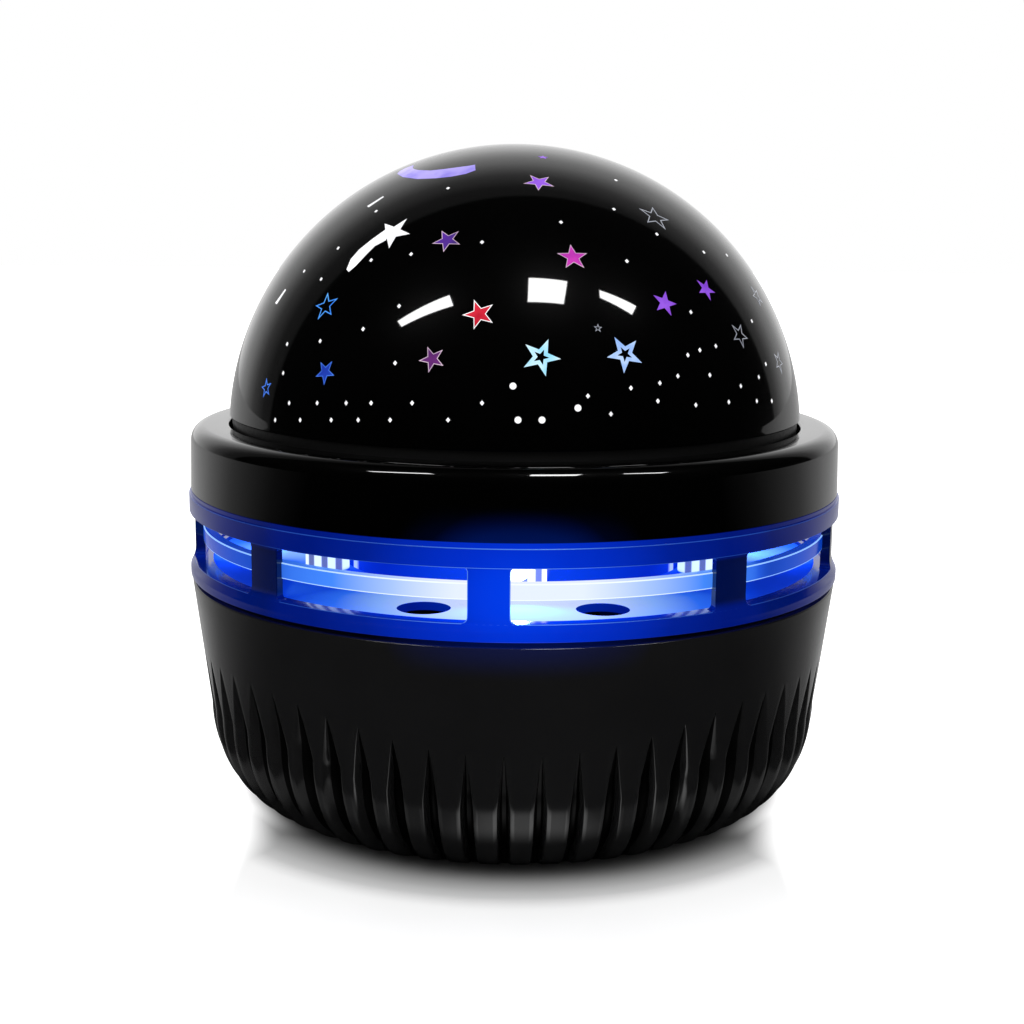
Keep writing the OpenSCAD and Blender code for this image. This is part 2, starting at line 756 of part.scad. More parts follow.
module cover_screws() {
  color(steel) around(cover_angles(), cover_screw_ring_r)
    translate([0, 0, cover_head_z + cover_head_h]) screw(cover_screw_r, cover_head_r, cover_head_h, cover_screw_l);
}

module main_board() {
  color(board_green) difference() {
    union() {
      translate([-main_board_l / 2, -main_board_w / 2, board_z0]) cube([main_board_l, main_board_w, board_t]);
      translate([0, 0, board_z1 - 0.1]) {
        translate([-chip_x, -chip_y, 0]) cube([chip_w, chip_w, chip_h]);
        translate([driver_x, driver_y, 0]) cube([driver_w, driver_w - 1, chip_h]);
        translate([-connector_w / 2, -connector_h, 0]) cube([connector_w, 2 * connector_h, connector_h + 0.1]);
        translate([slow_distance - 3, -2.5, 0]) cube([6, 5, connector_h + 0.1]);
        translate([ribbon_x - 5, ribbon_y - 1.5, 0]) cube([10, 3, connector_h + 0.1]);
        translate([can_x, -chip_y, 0]) cylinder(r = can_r, h = can_h);
        translate([-can_x / 2, -chip_y - 2, 0]) cylinder(r = can_r - 0.7, h = can_h - 2);
        for (i = [0:4]) translate([4 * i - chip_x - 2, driver_y, 0]) cube([2, 1.2, 0.8]);
      }
    }
    for (x = [-1, 1], y = [-1, 1]) translate([x * board_post_x, y * board_post_y, board_z0 - cut])
      cylinder(r = small_screw_r + screw_fit, h = board_t + 2 * cut);
  }
}

module board_screws() {
  color(steel) for (x = [-1, 1], y = [-1, 1]) translate([x * board_post_x, y * board_post_y, board_z1])
    mirror([0, 0, 1]) screw(small_screw_r, 2 * small_screw_r, 1, board_t + board_post_h);
}

module button_board() {
  color(board_green) difference() {
    translate([-panel_l / 2, panel_y, panel_z - panel_h / 2]) cube([panel_l, board_t, panel_h]);
    for (side = [-1, 1]) translate([side * panel_screw_x, panel_y - cut, socket_z + 1])
      rotate([-90, 0, 0]) cylinder(r = small_screw_r + screw_fit, h = board_t + 2 * cut);
  }
}

module panel_screws() {
  color(steel) for (side = [-1, 1]) translate([side * panel_screw_x, panel_y, socket_z + 1])
    rotate([-90, 0, 0]) screw(small_screw_r, 2 * small_screw_r, 1, board_t + 5);
}

module tact_switches() {
  color([0.15, 0.15, 0.16]) for (i = [0:button_count - 1]) button_place(i) {
    translate([-tact_w / 2, -tact_w / 2, panel_y1]) cube([tact_w, tact_w, tact_h]);
    translate([0, 0, tact_y1 - 0.1]) cylinder(r = tact_w * 0.28, h = tact_tip + 0.1);
  }
}

// A flat oval along +Y, w wide and h high, round the middle of the charging socket
module socket_outline(w, h, y, length) {
  translate([0, y, socket_z]) {
    translate([-(w - h) / 2, 0, -h / 2]) cube([w - h, length, h]);
    for (side = [-1, 1]) translate([side * (w - h) / 2, 0, 0]) rotate([-90, 0, 0]) cylinder(r = h / 2, h = length);
  }
}

module usb_socket() {
  shell = 0.3;
  back = 1;
  color(steel) {
    difference() {
      socket_outline(socket_w, socket_h, panel_y1, socket_l);
      socket_outline(socket_w - 2 * shell, socket_h - 2 * shell, panel_y1 + back, socket_l);
    }
    translate([-socket_w * 0.34, panel_y1 + back - 0.1, socket_z - 0.35])
      cube([socket_w * 0.68, socket_l - back - 0.9, 0.7]);
  }
}

module button(i) {
  color(black_gloss) button_place(i) {
    translate([0, 0, flange_y0]) cylinder(r = button_flange_r, h = flange_y1 - flange_y0);
  }
  color(black_gloss) intersection() {
    button_place(i) translate([0, 0, flange_y1 - 0.1]) cylinder(r = button_r, h = back_y);
    rotate_extrude() polygon([
      [0, corner_z], [base_shoulder_r + button_proud, corner_z],
      [base_top_r + button_proud, base_top_z], [0, base_top_z]
    ]);
  }
}

module deck() {
  color(white_part) difference() {
    union() {
      translate([0, 0, deck_z0]) cylinder(r = deck_r, h = deck_t);
      around(pillar_angles(), pillar_ring_r) translate([0, 0, deck_z0])
        cylinder(r = pillar_r, h = rim_floor_z - deck_z0);
    }
    translate([0, 0, deck_z0 - cut]) cylinder(r = deck_hole_r, h = deck_t + 2 * cut);
    around(pillar_angles(), pillar_ring_r) translate([0, 0, deck_z0 - cut])
      cylinder(r = case_screw_r + screw_fit, h = rim_floor_z - deck_z0 + 2 * cut);
    around([90 - vent_angle, 90 + vent_angle, 270 - vent_angle, 270 + vent_angle], vent_ring_r)
      translate([0, 0, deck_z0 - cut]) cylinder(r = vent_r, h = deck_t + 2 * cut);
    around(housing_screw_angles, housing_ring_r) translate([0, 0, deck_z0 - cut])
      cylinder(r = small_screw_r + screw_fit, h = deck_t + 2 * cut);
  }
}

module case_screws() {
  color(steel) around(pillar_angles(), pillar_ring_r) translate([0, 0, head_z])
    screw(case_screw_r, case_head_r, case_head_h, case_screw_z1 - head_z);
}

module band_profile() {
  flare_h = sill_h - skirt_h;
  bevel = 0.4;
  ledge_in = band_in_r - 1.6;
  ledge_z1 = sill_z - 0.3;
  spigot_r = min(band_in_r, rim_in_r - slip);
  polygon(concat(
    [[band_in_r, band_z0], [body_r - bevel, band_z0], [body_r, band_z0 + bevel], [body_r, band_z0 + skirt_h]],
    [for (i = [1:6]) let (t = i / 6) [band_r + band_step * pow(1 - t, 2), band_z0 + skirt_h + (flare_h + 2) * t]],
    [
      [band_r, window_z1], [body_r - bevel, window_z1], [body_r, window_z1 + bevel],
      [body_r, flange_z1 - bevel], [rim_r, flange_z1], [rim_r, rim_z0],
      [spigot_r, rim_z0], [spigot_r, rim_z0 + spigot_h], [spigot_r - 1.4, rim_z0 + spigot_h],
      [spigot_r - 1.4, flange_z1 - flange_h / 3], [band_in_r, flange_z1 - 2 * flange_h / 3],
      [band_in_r, ledge_z1], [ledge_in, ledge_z1], [ledge_in, deck_z1], [band_in_r, deck_z1]
    ]
  ));
}

// One window cutter with rounded corners, along the X axis
module window() {
  half_w = band_r * sin((360 / window_count - post_angle) / 2);
  start = band_in_r * cos(180 / window_count) - 1;
  c = window_corner;
  translate([start, 0, sill_z]) rotate([90, 0, 90]) linear_extrude(body_r)
    polygon([
      for (q = [0:3], i = [0:5])
        let (a = 90 * q + 18 * i, x = q == 0 || q == 3 ? 1 : -1, y = q < 2 ? 1 : 0)
        [x * (half_w - c) + c * cos(a), y * (window_h - 2 * c) + c + c * sin(a)]
    ]);
}

module light_band() {
  step = 360 / window_count;
  rib_r = band_in_r + 0.2;
  color([0.03, 0.12, 0.75]) {
    difference() {
      rotate_extrude() band_profile();
      for (i = [0:window_count - 1]) rotate([0, 0, 270 - post_turn + step * (i + 0.5)]) window();
    }
    translate([0, 0, sill_z + rib_lift]) ring(rib_r, rib_r - rib_t, rib_h);
  }
}

module upper_rim() {
  shelf_t = rim_wall;
  in_fillet = rim_fillet - rim_wall;
  color(black_gloss) difference() {
    union() {
      rotate_extrude() polygon(concat(
        [[rim_in_r, rim_z0], [rim_r, rim_z0], [rim_r - 0.3, shelf_z - rim_fillet]],
        arc(rim_r - 0.3 - rim_fillet, shelf_z - rim_fillet, rim_fillet, rim_fillet, 0, 90),
        [[shelf_r, shelf_z], [shelf_r, shelf_z - shelf_t]],
        arc(rim_in_r - in_fillet, shelf_z - shelf_t - in_fillet, in_fillet, in_fillet, 90, 0),
        [
          [rim_in_r, rim_floor_z + rim_floor_t], [rim_floor_r, rim_floor_z + rim_floor_t],
          [rim_floor_r, rim_floor_z], [rim_in_r, rim_floor_z]
        ]
      ));
      around(pillar_angles(), pillar_ring_r) translate([0, 0, rim_floor_z])
        cylinder(r = pillar_r, h = rim_floor_t + rim_boss_h);
    }
    around(pillar_angles(), pillar_ring_r) translate([0, 0, rim_floor_z - cut])
      cylinder(r = case_screw_r, h = case_screw_z1 - rim_floor_z + cut);
  }
}

// Places of the reduction wheel and the motor about the axis
module at_wheel() {
  rotate([0, 0, gear_turn]) translate([slow_distance, 0, 0]) children();
}

module at_motor() {
  translate([slow_distance, 0, 0]) children();
}

module motor_housing() {
  pad_h = side_board_h + 0.6;
  pad_z = deck_z1 + side_led_z - pad_h / 2;
  color(white_part) difference() {
    union() {
      difference() {
        union() {
          translate([0, 0, deck_z1]) cylinder(r = drum_r, h = drum_h);
          for (i = [0:3]) rotate([0, 0, 270 + side_led_turn + 90 * i])
            translate([drum_in_r, -side_board_w / 2, pad_z])
              cube([side_pad_r - drum_in_r, side_board_w, pad_h]);
        }
        translate([0, 0, deck_z1 - cut]) cylinder(r = drum_in_r, h = drum_h - drum_top_t + cut);
      }
      translate([0, 0, motor_z1]) cylinder(r = column_r, h = column_z1 - motor_z1);
      around(housing_screw_angles, housing_ring_r) translate([0, 0, deck_z1]) cylinder(r = housing_boss_r, h = 9);
      at_wheel() translate([0, 0, motor_z1]) cylinder(r = wheel_boss_r, h = drum_top_t + wheel_boss_h);
    }
    difference() {
      translate([0, 0, motor_z1 - cut]) cylinder(r = column_in_r, h = column_z1 - motor_z1 + 2 * cut);
      for (side = [-1, 1]) translate([side * lamp_screw_x, 0, column_z1 - 6]) cylinder(r = 2, h = 6);
    }
    for (side = [-1, 1]) translate([side * lamp_screw_x, 0, column_z1 - 5]) cylinder(r = small_screw_r, h = 5 + cut);
    translate([0, 0, ring_z0]) ring(column_r + 1, column_r - ring_groove, ring_t);
    around(housing_screw_angles, housing_ring_r) translate([0, 0, deck_z1 - cut])
      cylinder(r = small_screw_r, h = 6.5 + cut);
    at_wheel() translate([0, 0, motor_z1 - cut]) cylinder(r = pin_r, h = drum_top_t + wheel_boss_h + 2 * cut);
    at_motor() {
      translate([0, 0, motor_z1 - cut]) cylinder(r = shaft_r + 0.7, h = drum_top_t + 2 * cut);
      for (side = [-1, 1]) translate([0, side * motor_screw_gap / 2, motor_z1 - cut]) {
        cylinder(r = small_screw_r, h = drum_top_t + 2 * cut);
        translate([0, 0, cut + drum_top_t - small_screw_r])
          cylinder(r1 = small_screw_r, r2 = 2 * small_screw_r, h = small_screw_r);
      }
    }
  }
}

module housing_screws() {
  color(steel) around(housing_screw_angles, housing_ring_r) translate([0, 0, deck_z0])
    screw(small_screw_r, 2 * small_screw_r, 1, deck_t + 6);
}

module motor() {
  tab_l = 1.2;
  color(steel) at_motor() difference() {
    union() {
      translate([-motor_w / 2, -motor_b / 2, can_z1]) cube([motor_w, motor_b, gearbox_l]);
      intersection() {
        translate([0, 0, motor_z0]) cylinder(r = motor_b / 2, h = can_l + 0.1);
        translate([-motor_w / 2, -motor_b / 2, motor_z0]) cube([motor_w, motor_b, can_l + 0.1]);
      }
      for (side = [-1, 1]) translate([-0.8, side * 3.5 - 0.2, motor_z0 - tab_l]) cube([1.6, 0.4, tab_l + 0.1]);
    }
    translate([0, 0, motor_z1 - shaft_seat]) cylinder(r = shaft_r + running, h = shaft_seat + cut);
    for (side = [-1, 1]) translate([0, side * motor_screw_gap / 2, motor_z1 - screw_seat])
      cylinder(r = small_screw_r, h = screw_seat + cut);
  }
}

module motor_screws() {
  color(steel) at_motor() for (side = [-1, 1]) translate([0, side * motor_screw_gap / 2, drum_z1 - small_screw_r]) {
    cylinder(r1 = small_screw_r, r2 = 2 * small_screw_r, h = small_screw_r);
    translate([0, 0, -drum_top_t - screw_seat + small_screw_r]) cylinder(r = small_screw_r, h = drum_top_t + screw_seat);
  }
}

module motor_shaft() {
  z0 = motor_z1 - shaft_seat + end_play;
  color(steel) at_motor() translate([0, 0, z0]) cylinder(r = shaft_r, h = shaft_z1 - z0);
}

module motor_pinion() {
  mesh_angle = gear_turn / 2 + 90;
  color([0.85, 0.85, 0.8]) at_motor() translate([0, 0, pinion_z0])
    rotate([0, 0, mesh_angle + 180 / pinion_teeth]) difference() {
      linear_extrude(pinion_h) polygon(gear_outline(pinion_teeth, fast_module));
      translate([0, 0, -cut]) cylinder(r = shaft_r, h = pinion_h + 2 * cut);
    }
}

module reduction_pin() {
  color(steel) at_wheel() translate([0, 0, motor_z1]) cylinder(r = pin_r, h = small_z1 + 0.3 - motor_z1);
}

module reduction_gear() {
  color([0.85, 0.85, 0.8]) at_wheel() difference() {
    union() {
      translate([0, 0, wheel_z0]) rotate([0, 0, -90 - gear_turn / 2])
        linear_extrude(wheel_h) polygon(gear_outline(wheel_teeth, fast_module));
      translate([0, 0, wheel_z1 - 0.1]) rotate([0, 0, 180 + 180 / small_teeth])
        linear_extrude(small_z1 - wheel_z1 + 0.1) polygon(gear_outline(small_teeth, slow_module));
    }
    translate([0, 0, wheel_z0 - cut]) cylinder(r = pin_r + running, h = small_z1 - wheel_z0 + 2 * cut);
  }
}

module turntable_gear() {
  color([0.85, 0.85, 0.8]) translate([0, 0, table_gear_z0]) rotate([0, 0, gear_turn]) difference() {
    linear_extrude(table_gear_h) polygon(gear_outline(table_teeth, slow_module));
    translate([0, 0, -cut]) cylinder(r = hub_r, h = table_gear_h + 2 * cut);
  }
}

module thrust_washer() {
  color([0.95, 0.95, 0.9]) translate([0, 0, drum_z1]) ring(hub_r - 0.2, column_r + 0.1, washer_t);
}

module retaining_ring() {
  color(steel) translate([0, 0, ring_z0]) rotate([0, 0, ring_open / 2]) rotate_extrude(angle = 360 - ring_open)
    translate([column_r - ring_groove, 0]) square([snap_ring_r + ring_groove - column_r, ring_t]);
}

module turntable() {
  seat_r = dome_spigot_r - dome_spigot_wall;
  color([0.04, 0.04, 0.043]) difference() {
    union() {
      translate([0, 0, table_z0]) cylinder(r = collar_r, h = plate_t);
      translate([0, 0, table_z0]) ring(collar_r, seat_r, collar_h);
      translate([0, 0, table_z0]) ring(dome_spigot_r, seat_r, collar_h + dome_spigot_h);
      translate([0, 0, hub_z0]) cylinder(r = hub_r, h = hub_h);
      for (i = [0:plate_rib_count - 1]) rotate([0, 0, 360 * i / plate_rib_count])
        translate([hub_r - 0.5, -plate_rib_t / 2, table_z0 + plate_t - 0.1])
          cube([seat_r - hub_r + 1, plate_rib_t, plate_rib_h + 0.1]);
    }
    translate([0, 0, hub_z0 - cut]) cylinder(r = column_r + running, h = hub_h + collar_h);
  }
}

module led_board() {
  color(board_green) translate([0, 0, column_z1]) difference() {
    cylinder(r = lamp_board_r, h = board_t);
    for (side = [-1, 1]) translate([side * lamp_screw_x, 0, -cut])
      cylinder(r = small_screw_r + screw_fit, h = board_t + 2 * cut);
  }
}

module lamp_screws() {
  color(steel) for (side = [-1, 1]) translate([side * lamp_screw_x, 0, column_z1 + board_t])
    mirror([0, 0, 1]) screw(small_screw_r, 2 * small_screw_r, 1, board_t + 4.5);
}

// A round LED along +Z: flange, body and rounded end
module led() {
  cylinder(r = led_r + 0.4, h = 1);
  cylinder(r = led_r, h = led_l - led_r);
  translate([0, 0, led_l - led_r]) sphere(r = led_r);
}

module lamp(x, y, tint) {
  color(tint) translate([x * led_offset, y * led_offset, column_z1 + board_t]) intersection() {
    led();
    cylinder(r = 2 * led_r, h = 2 * led_l);
  }
}

module side_place(i, r) {
  rotate([0, 0, 270 + side_led_turn + 90 * (i - 1)]) translate([r, 0, deck_z1 + side_led_z])
    rotate([0, 90, 0]) children();
}

module side_board(i) {
  color([0.9, 0.9, 0.9]) side_place(i, side_pad_r) translate([-side_board_h / 2, -side_board_w / 2, 0])
    cube([side_board_h, side_board_w, side_board_t]);
}

module side_led(i) {
  color([0.3, 0.5, 1]) side_place(i, side_pad_r + side_board_t) intersection() {
    led();
    cylinder(r = 2 * led_r, h = 2 * led_l);
  }
}

module led_lead() {
  z0 = board_z1 + connector_h;
  color([0.8, 0.8, 0.8]) translate([0, 0, z0]) cylinder(r = lead_r, h = column_z1 - z0);
}

module motor_lead() {
  z0 = board_z1 + connector_h;
  color([0.7, 0.1, 0.1]) translate([slow_distance, 0, z0]) cylinder(r = motor_lead_r, h = motor_z0 - z0);
}

module panel_ribbon() {
  z0 = board_z1 + connector_h;
  color([0.6, 0.6, 0.6]) {
    translate([ribbon_x - ribbon_w / 2, ribbon_y - ribbon_t / 2, z0])
      cube([ribbon_w, ribbon_t, ribbon_z - z0 + ribbon_t]);
    translate([ribbon_x - ribbon_w / 2, ribbon_y - ribbon_t / 2, ribbon_z])
      cube([ribbon_w, panel_y - ribbon_y + ribbon_t / 2, ribbon_t]);
  }
}

module star_dome() {
  color(black_gloss) translate([0, 0, dome_cz]) difference() {
    sphere(r = dome_r);
    sphere(r = dome_in_r);
    translate([-2 * dome_r, -2 * dome_r, dome_drop - 2 * dome_r]) cube([4 * dome_r, 4 * dome_r, 2 * dome_r]);
  }
}

base_bowl();
bottom_cover();
battery_door();
foot(1);  // foot_1
foot(2);  // foot_2
foot(3);  // foot_3
foot(4);  // foot_4
cell(1);  // cell_1
cell(2);  // cell_2
cell(3);  // cell_3
cell(4);  // cell_4
contact_plates();
contact_springs();
cover_screws();
main_board();
board_screws();
button_board();
tact_switches();
panel_screws();
usb_socket();
button(0);  // button_light
button(1);  // button_colour
button(2);  // button_turn
button(3);  // button_timer
deck();
case_screws();
light_band();
upper_rim();
motor_housing();
housing_screws();
motor();
motor_screws();
motor_shaft();
motor_pinion();
reduction_pin();
reduction_gear();
turntable_gear();
thrust_washer();
retaining_ring();
turntable();
led_board();
lamp_screws();
lamp(-1, -1, [0.9, 0.1, 0.1]);  // led_red
lamp(1, -1, [0.1, 0.8, 0.2]);  // led_green
lamp(1, 1, [0.1, 0.2, 0.9]);  // led_blue
lamp(-1, 1, [0.95, 0.95, 0.9]);  // led_white
side_board(1);  // side_board_1
side_board(2);  // side_board_2
side_board(3);  // side_board_3
side_board(4);  // side_board_4
side_led(1);  // side_led_1
side_led(2);  // side_led_2
side_led(3);  // side_led_3
side_led(4);  // side_led_4
led_lead();
motor_lead();
panel_ribbon();
star_dome();
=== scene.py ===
from math import asin, atan2, cos, degrees, pi, radians, sin, sqrt, tan
import random

import bpy
import bmesh
from mathutils import Matrix, Vector


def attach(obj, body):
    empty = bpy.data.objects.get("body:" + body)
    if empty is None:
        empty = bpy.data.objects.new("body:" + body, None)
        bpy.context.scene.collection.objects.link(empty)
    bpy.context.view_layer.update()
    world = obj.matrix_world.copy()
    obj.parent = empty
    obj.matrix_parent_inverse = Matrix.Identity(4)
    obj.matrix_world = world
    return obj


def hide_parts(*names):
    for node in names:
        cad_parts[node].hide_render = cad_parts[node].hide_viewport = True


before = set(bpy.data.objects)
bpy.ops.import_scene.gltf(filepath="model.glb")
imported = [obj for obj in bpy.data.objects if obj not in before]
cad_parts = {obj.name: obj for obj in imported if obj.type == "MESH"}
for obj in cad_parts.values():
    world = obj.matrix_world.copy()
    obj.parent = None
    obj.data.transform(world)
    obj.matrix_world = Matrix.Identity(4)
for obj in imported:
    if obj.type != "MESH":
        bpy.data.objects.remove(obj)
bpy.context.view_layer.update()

# ---------------- named values (mm and degrees unless said)
MM = 0.001
SHARP_ANGLE = 38.0
TURN_COUNT = 320
PIXEL_CENTRE = 512.0
FOCAL_PIXELS = 1616.6
FOCAL_LENGTH = 56.83
SENSOR_WIDTH = 36.0
EYE = Vector((-0.38, -325.0, 116.1))
EYE_TILT = 79.5
EYE_ROLL = 0.5

DOME_R = 57.0
DOME_IN_R = 54.8
DOME_Z = 72.35
EYE_FROM_DOME = EYE - Vector((0, 0, DOME_Z))
DOME_EDGE_Z = 76.6
DOME_SINK = 0.04
PRINT_SINK = 0.01
PRINT_ROOT = 0.5
DOT_R = 0.37
DOT_SQUASH = 1.2
ROUND_R = 0.6
STAR_INNER = 0.4
DOME_STEPS = 96
DOME_TOP_RISE = pi / 2 - 0.0005

SIDE_LED_TURN = 0.9
SIDE_LED_R = 45.5
SIDE_LED_Z = 53.3
# Materials and stage: lengths in metres, scales per metre
GLOW_REACH = 0.06
# Heights in the deck's holes, below which the LED light is painted weaker as shade, and at the deck's top,
# above which it is painted stronger.
IN_HOLES = (0.04745, 0.04755)
DECK_TOP = (0.0482, 0.0486)
SHADOW_BAND_TURNS = 2400.0
MOTTLE_SCALE = 40.0
PLASTIC_IOR = 1.5
FLOOR_HALF = 3.0
BACKDROP_WAY = (-0.104, 0.989, 0.1045)
KEY_PLACE = (-0.35, -0.45, 0.75)

BASE_Z0 = 0.8
BASE_TOP_R = 64.7
BASE_TOP_Z = 44.7
SHOULDER_R = 61.6
SHOULDER_Z = 19.8
CORNER_W = 12.5
CORNER_H = 19.0
FLAT_R = SHOULDER_R - CORNER_W
BASE_WALL = 2.6
COVER_HOLE_R = 46.2
COVER_TOP_Z = 3.3
COVER_LIP_R = 44.2
FOOT_FLOOR_Z = 5.2
NECK_R = 62.0
NECK_IN_R = 60.2
NECK_Z = 46.0
FLUTE_COUNT = 60
FLUTE_TURN = 1.3
FLUTE_LOW_Z = 24.9
FLUTE_WAVE = 6.2
FLUTE_HALF = 1.15
FLUTE_SIDE_HALF = 1.7
FLUTE_FALL = 2.8
FLUTE_ROWS = 16
FLUTE_CORNER_ROWS = 32
FLUTE_STATIONS = [0.0, 0.2, 0.36, 0.5, 0.6, 0.7, 0.79, 0.87, 0.94, 1.0, 1.05]
FOOT_WALL = 3.6
BUTTON_Z = 37.5
BUTTON_R = 3.4
BUTTON_PROUD = 0.8
BUTTON_PITCH = 11.0
RECESS_W = 12.0
RECESS_H = 7.0
RECESS_Z = 28.5
RECESS_Y = 58.5

BODY_R = 65.0
BAND_R = 64.0
BAND_IN_R = 62.2
BAND_Z0 = 45.7
BAND_FOOT_Z = 47.2
BAND_EDGE_R = 0.14
LEDGE_R = 60.6
LEDGE_Z0 = 47.6
LEDGE_Z = 48.4
SPIGOT_R = 60.8
SPIGOT_Z = 63.8
RIB_IN_R = 60.4
RIB_R = 62.4
RIB_Z0 = 52.3
RIB_Z = 55.2
SILL_Z = 48.7
WINDOW_TOP_Z = 58.3
FLANGE_Z = 61.7
RIM_Z0 = 62.5
WINDOW_COUNT = 9
WINDOW_HALF = 18.445
WINDOW_CORNER = 0.9
POST_TURN = 3.7

RIM_R = 64.6
RIM_IN_R = 62.4
SHELF_Z = 75.0
SHELF_R = 56.94
RIM_FILLET = 3.0
SHELF_WALL = 2.2
RIM_FLOOR_Z0 = 64.0
RIM_FLOOR_Z = 66.0
RIM_HOLE_R = 36.5


# ---------------- mesh helpers
def add_object(name, data):
    """A new object in the scene."""
    obj = bpy.data.objects.new(name, data)
    bpy.context.scene.collection.objects.link(obj)
    return obj


def turns(count):
    """Equal angles round a full turn."""
    return [2 * pi * k / count for k in range(count)]


def polar(r, a, z):
    """The point at a radius, an angle and a height."""
    return (r * cos(a), r * sin(a), z)


class Shape:
    """Points, faces and face slots that grow into one mesh."""

    def __init__(self):
        self.verts = []
        self.faces = []
        self.slots = []

    def tube(self, loops, slots=None, caps=False, wrap=False):
        """Quads between equal closed loops. slots gives one slot for each side of a loop."""
        start = len(self.verts)
        size = len(loops[0])
        for loop in loops:
            self.verts.extend(loop)
        count = len(loops) if wrap else len(loops) - 1
        for k in range(count):
            a = start + k * size
            b = start + (k + 1) % len(loops) * size
            for j in range(size):
                i = (j + 1) % size
                self.faces.append((a + j, a + i, b + i, b + j))
                self.slots.append(slots[j] if slots else 0)
        if caps:
            last = start + (len(loops) - 1) * size
            self.faces.append(tuple(range(start, start + size)))
            self.faces.append(tuple(range(last, last + size)))
            self.slots.extend([0, 0])

    def lathe(self, profile):
        """A closed profile of (r, z, slot) turned about Z."""
        loops = [[polar(r, a, z) for r, z, _ in profile] for a in turns(TURN_COUNT)]
        self.tube(loops, [slot for _, _, slot in profile], wrap=True)

    def build(self, name, body, materials, sharp=SHARP_ANGLE):
        """The shape, from points in mm, as a piece that rides on a body."""
        mesh = bpy.data.meshes.new(name)
        mesh.from_pydata([Vector(v) * MM for v in self.verts], [], self.faces)
        for material in materials:
            mesh.materials.append(material)
        mesh.polygons.foreach_set("material_index", self.slots)
        work = bmesh.new()
        work.from_mesh(mesh)
        bmesh.ops.recalc_face_normals(work, faces=work.faces)
        work.to_mesh(mesh)
        work.free()
        mesh.shade_smooth()
        mesh.set_sharp_from_angle(angle=radians(sharp))
        obj = add_object(name, mesh)
        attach(obj, body)
        return obj


def rounded(corners, steps=4):
    """A closed profile of (r, z) corners. A corner with a radius and a slot too is an arc of that slot."""
    points = []
    for k, (r, z, *arc) in enumerate(corners):
        if not arc:
            points.append((r, z, 0))
            continue
        radius, slot = arc
        here = Vector((r, z))
        after = corners[(k + 1) % len(corners)]
        to_last = (Vector(corners[k - 1][:2]) - here).normalized()
        to_next = (Vector(after[:2]) - here).normalized()
        half = to_last.angle(to_next) / 2
        centre = here + (to_last + to_next).normalized() * radius / sin(half)
        first = here + to_last * radius / tan(half) - centre
        last = here + to_next * radius / tan(half) - centre
        a0 = atan2(first.y, first.x)
        turn = (atan2(last.y, last.x) - a0 + pi) % (2 * pi) - pi
        for i in range(steps + 1):
            a = a0 + turn * i / steps
            face_slot = slot if i < steps else 0
            points.append((centre.x + radius * cos(a), centre.y + radius * sin(a), face_slot))
    return points


def smooth(x):
    """0 to 1 with level ends."""
    x = min(1.0, max(0.0, x))
    return x * x * (3 - 2 * x)


def cut_away(obj, cutters):
    """Cuts solids out of a piece and keeps the result as its mesh."""
    for cutter in cutters:
        step = obj.modifiers.new("cut", "BOOLEAN")
        step.object = cutter
        step.operation = "DIFFERENCE"
        step.solver = "EXACT"
    depsgraph = bpy.context.evaluated_depsgraph_get()
    mesh = bpy.data.meshes.new_from_object(obj.evaluated_get(depsgraph))
    obj.modifiers.clear()
    obj.data = mesh
    mesh.set_sharp_from_angle(angle=radians(SHARP_ANGLE))
    for cutter in cutters:
        bpy.data.objects.remove(cutter)


# ---------------- material helpers
BLACK = (0, 0, 0)
WHITE = (1, 1, 1)
ICE = (0.9, 0.95, 1.0)


def new_material(name):
    material = bpy.data.materials.new(name)
    material.use_nodes = True
    tree = material.node_tree
    return material, tree, tree.nodes["Principled BSDF"]


def feed(node, inputs):
    """Sets inputs of a node to values, or links them to outputs of its tree."""
    for name, value in inputs.items():
        if isinstance(value, bpy.types.NodeSocket):
            node.id_data.links.new(value, node.inputs[name])
        else:
            node.inputs[name].default_value = value


def new_node(tree, kind, inputs):
    node = tree.nodes.new("ShaderNode" + kind)
    feed(node, inputs)
    return node


def calc(tree, operation, *values):
    node = new_node(tree, "Math", dict(enumerate(values)))
    node.operation = operation
    return node.outputs[0]


def split_xyz(tree, vector):
    return new_node(tree, "SeparateXYZ", {0: vector}).outputs


def root_of_squares(tree, first, *others):
    total = calc(tree, "MULTIPLY", first, first)
    for other in others:
        total = calc(tree, "ADD", total, calc(tree, "MULTIPLY", other, other))
    return calc(tree, "SQRT", total)


def object_point(tree):
    return new_node(tree, "TexCoord", {}).outputs["Object"]


def noise(tree, scale, detail=3.0):
    inputs = {"Scale": scale, "Detail": detail, "Roughness": 0.55, "Vector": object_point(tree)}
    return new_node(tree, "TexNoise", inputs).outputs[0]


def map_range(tree, value, a, b, c=0.0, d=1.0, kind="LINEAR"):
    inputs = {"Value": value, "From Min": a, "From Max": b, "To Min": c, "To Max": d}
    node = new_node(tree, "MapRange", inputs)
    node.interpolation_type = kind
    return node.outputs[0]


def soft_range(tree, value, a, b, c=0.0, d=1.0):
    return map_range(tree, value, a, b, c, d, "SMOOTHSTEP")


def greys(stops):
    """Ramp stops of grey from (place, level)."""
    return [(place, (level,) * 3) for place, level in stops]


def ramp(tree, value, stops):
    node = new_node(tree, "ValToRGB", {0: value})
    band = node.color_ramp
    while len(band.elements) < len(stops):
        band.elements.new(0.5)
    for element, (place, colour) in zip(band.elements, stops):
        element.position = place
        element.color = (*colour, 1)
    return node.outputs[0]


def mixed(tree, kind, first, second):
    """Two colours, or a colour and a level, multiplied or added."""
    node = new_node(tree, "Mix", {})
    node.data_type = "RGBA"
    node.blend_type = kind
    feed(node, {0: 1.0, 6: first, 7: second})
    return node.outputs[2]


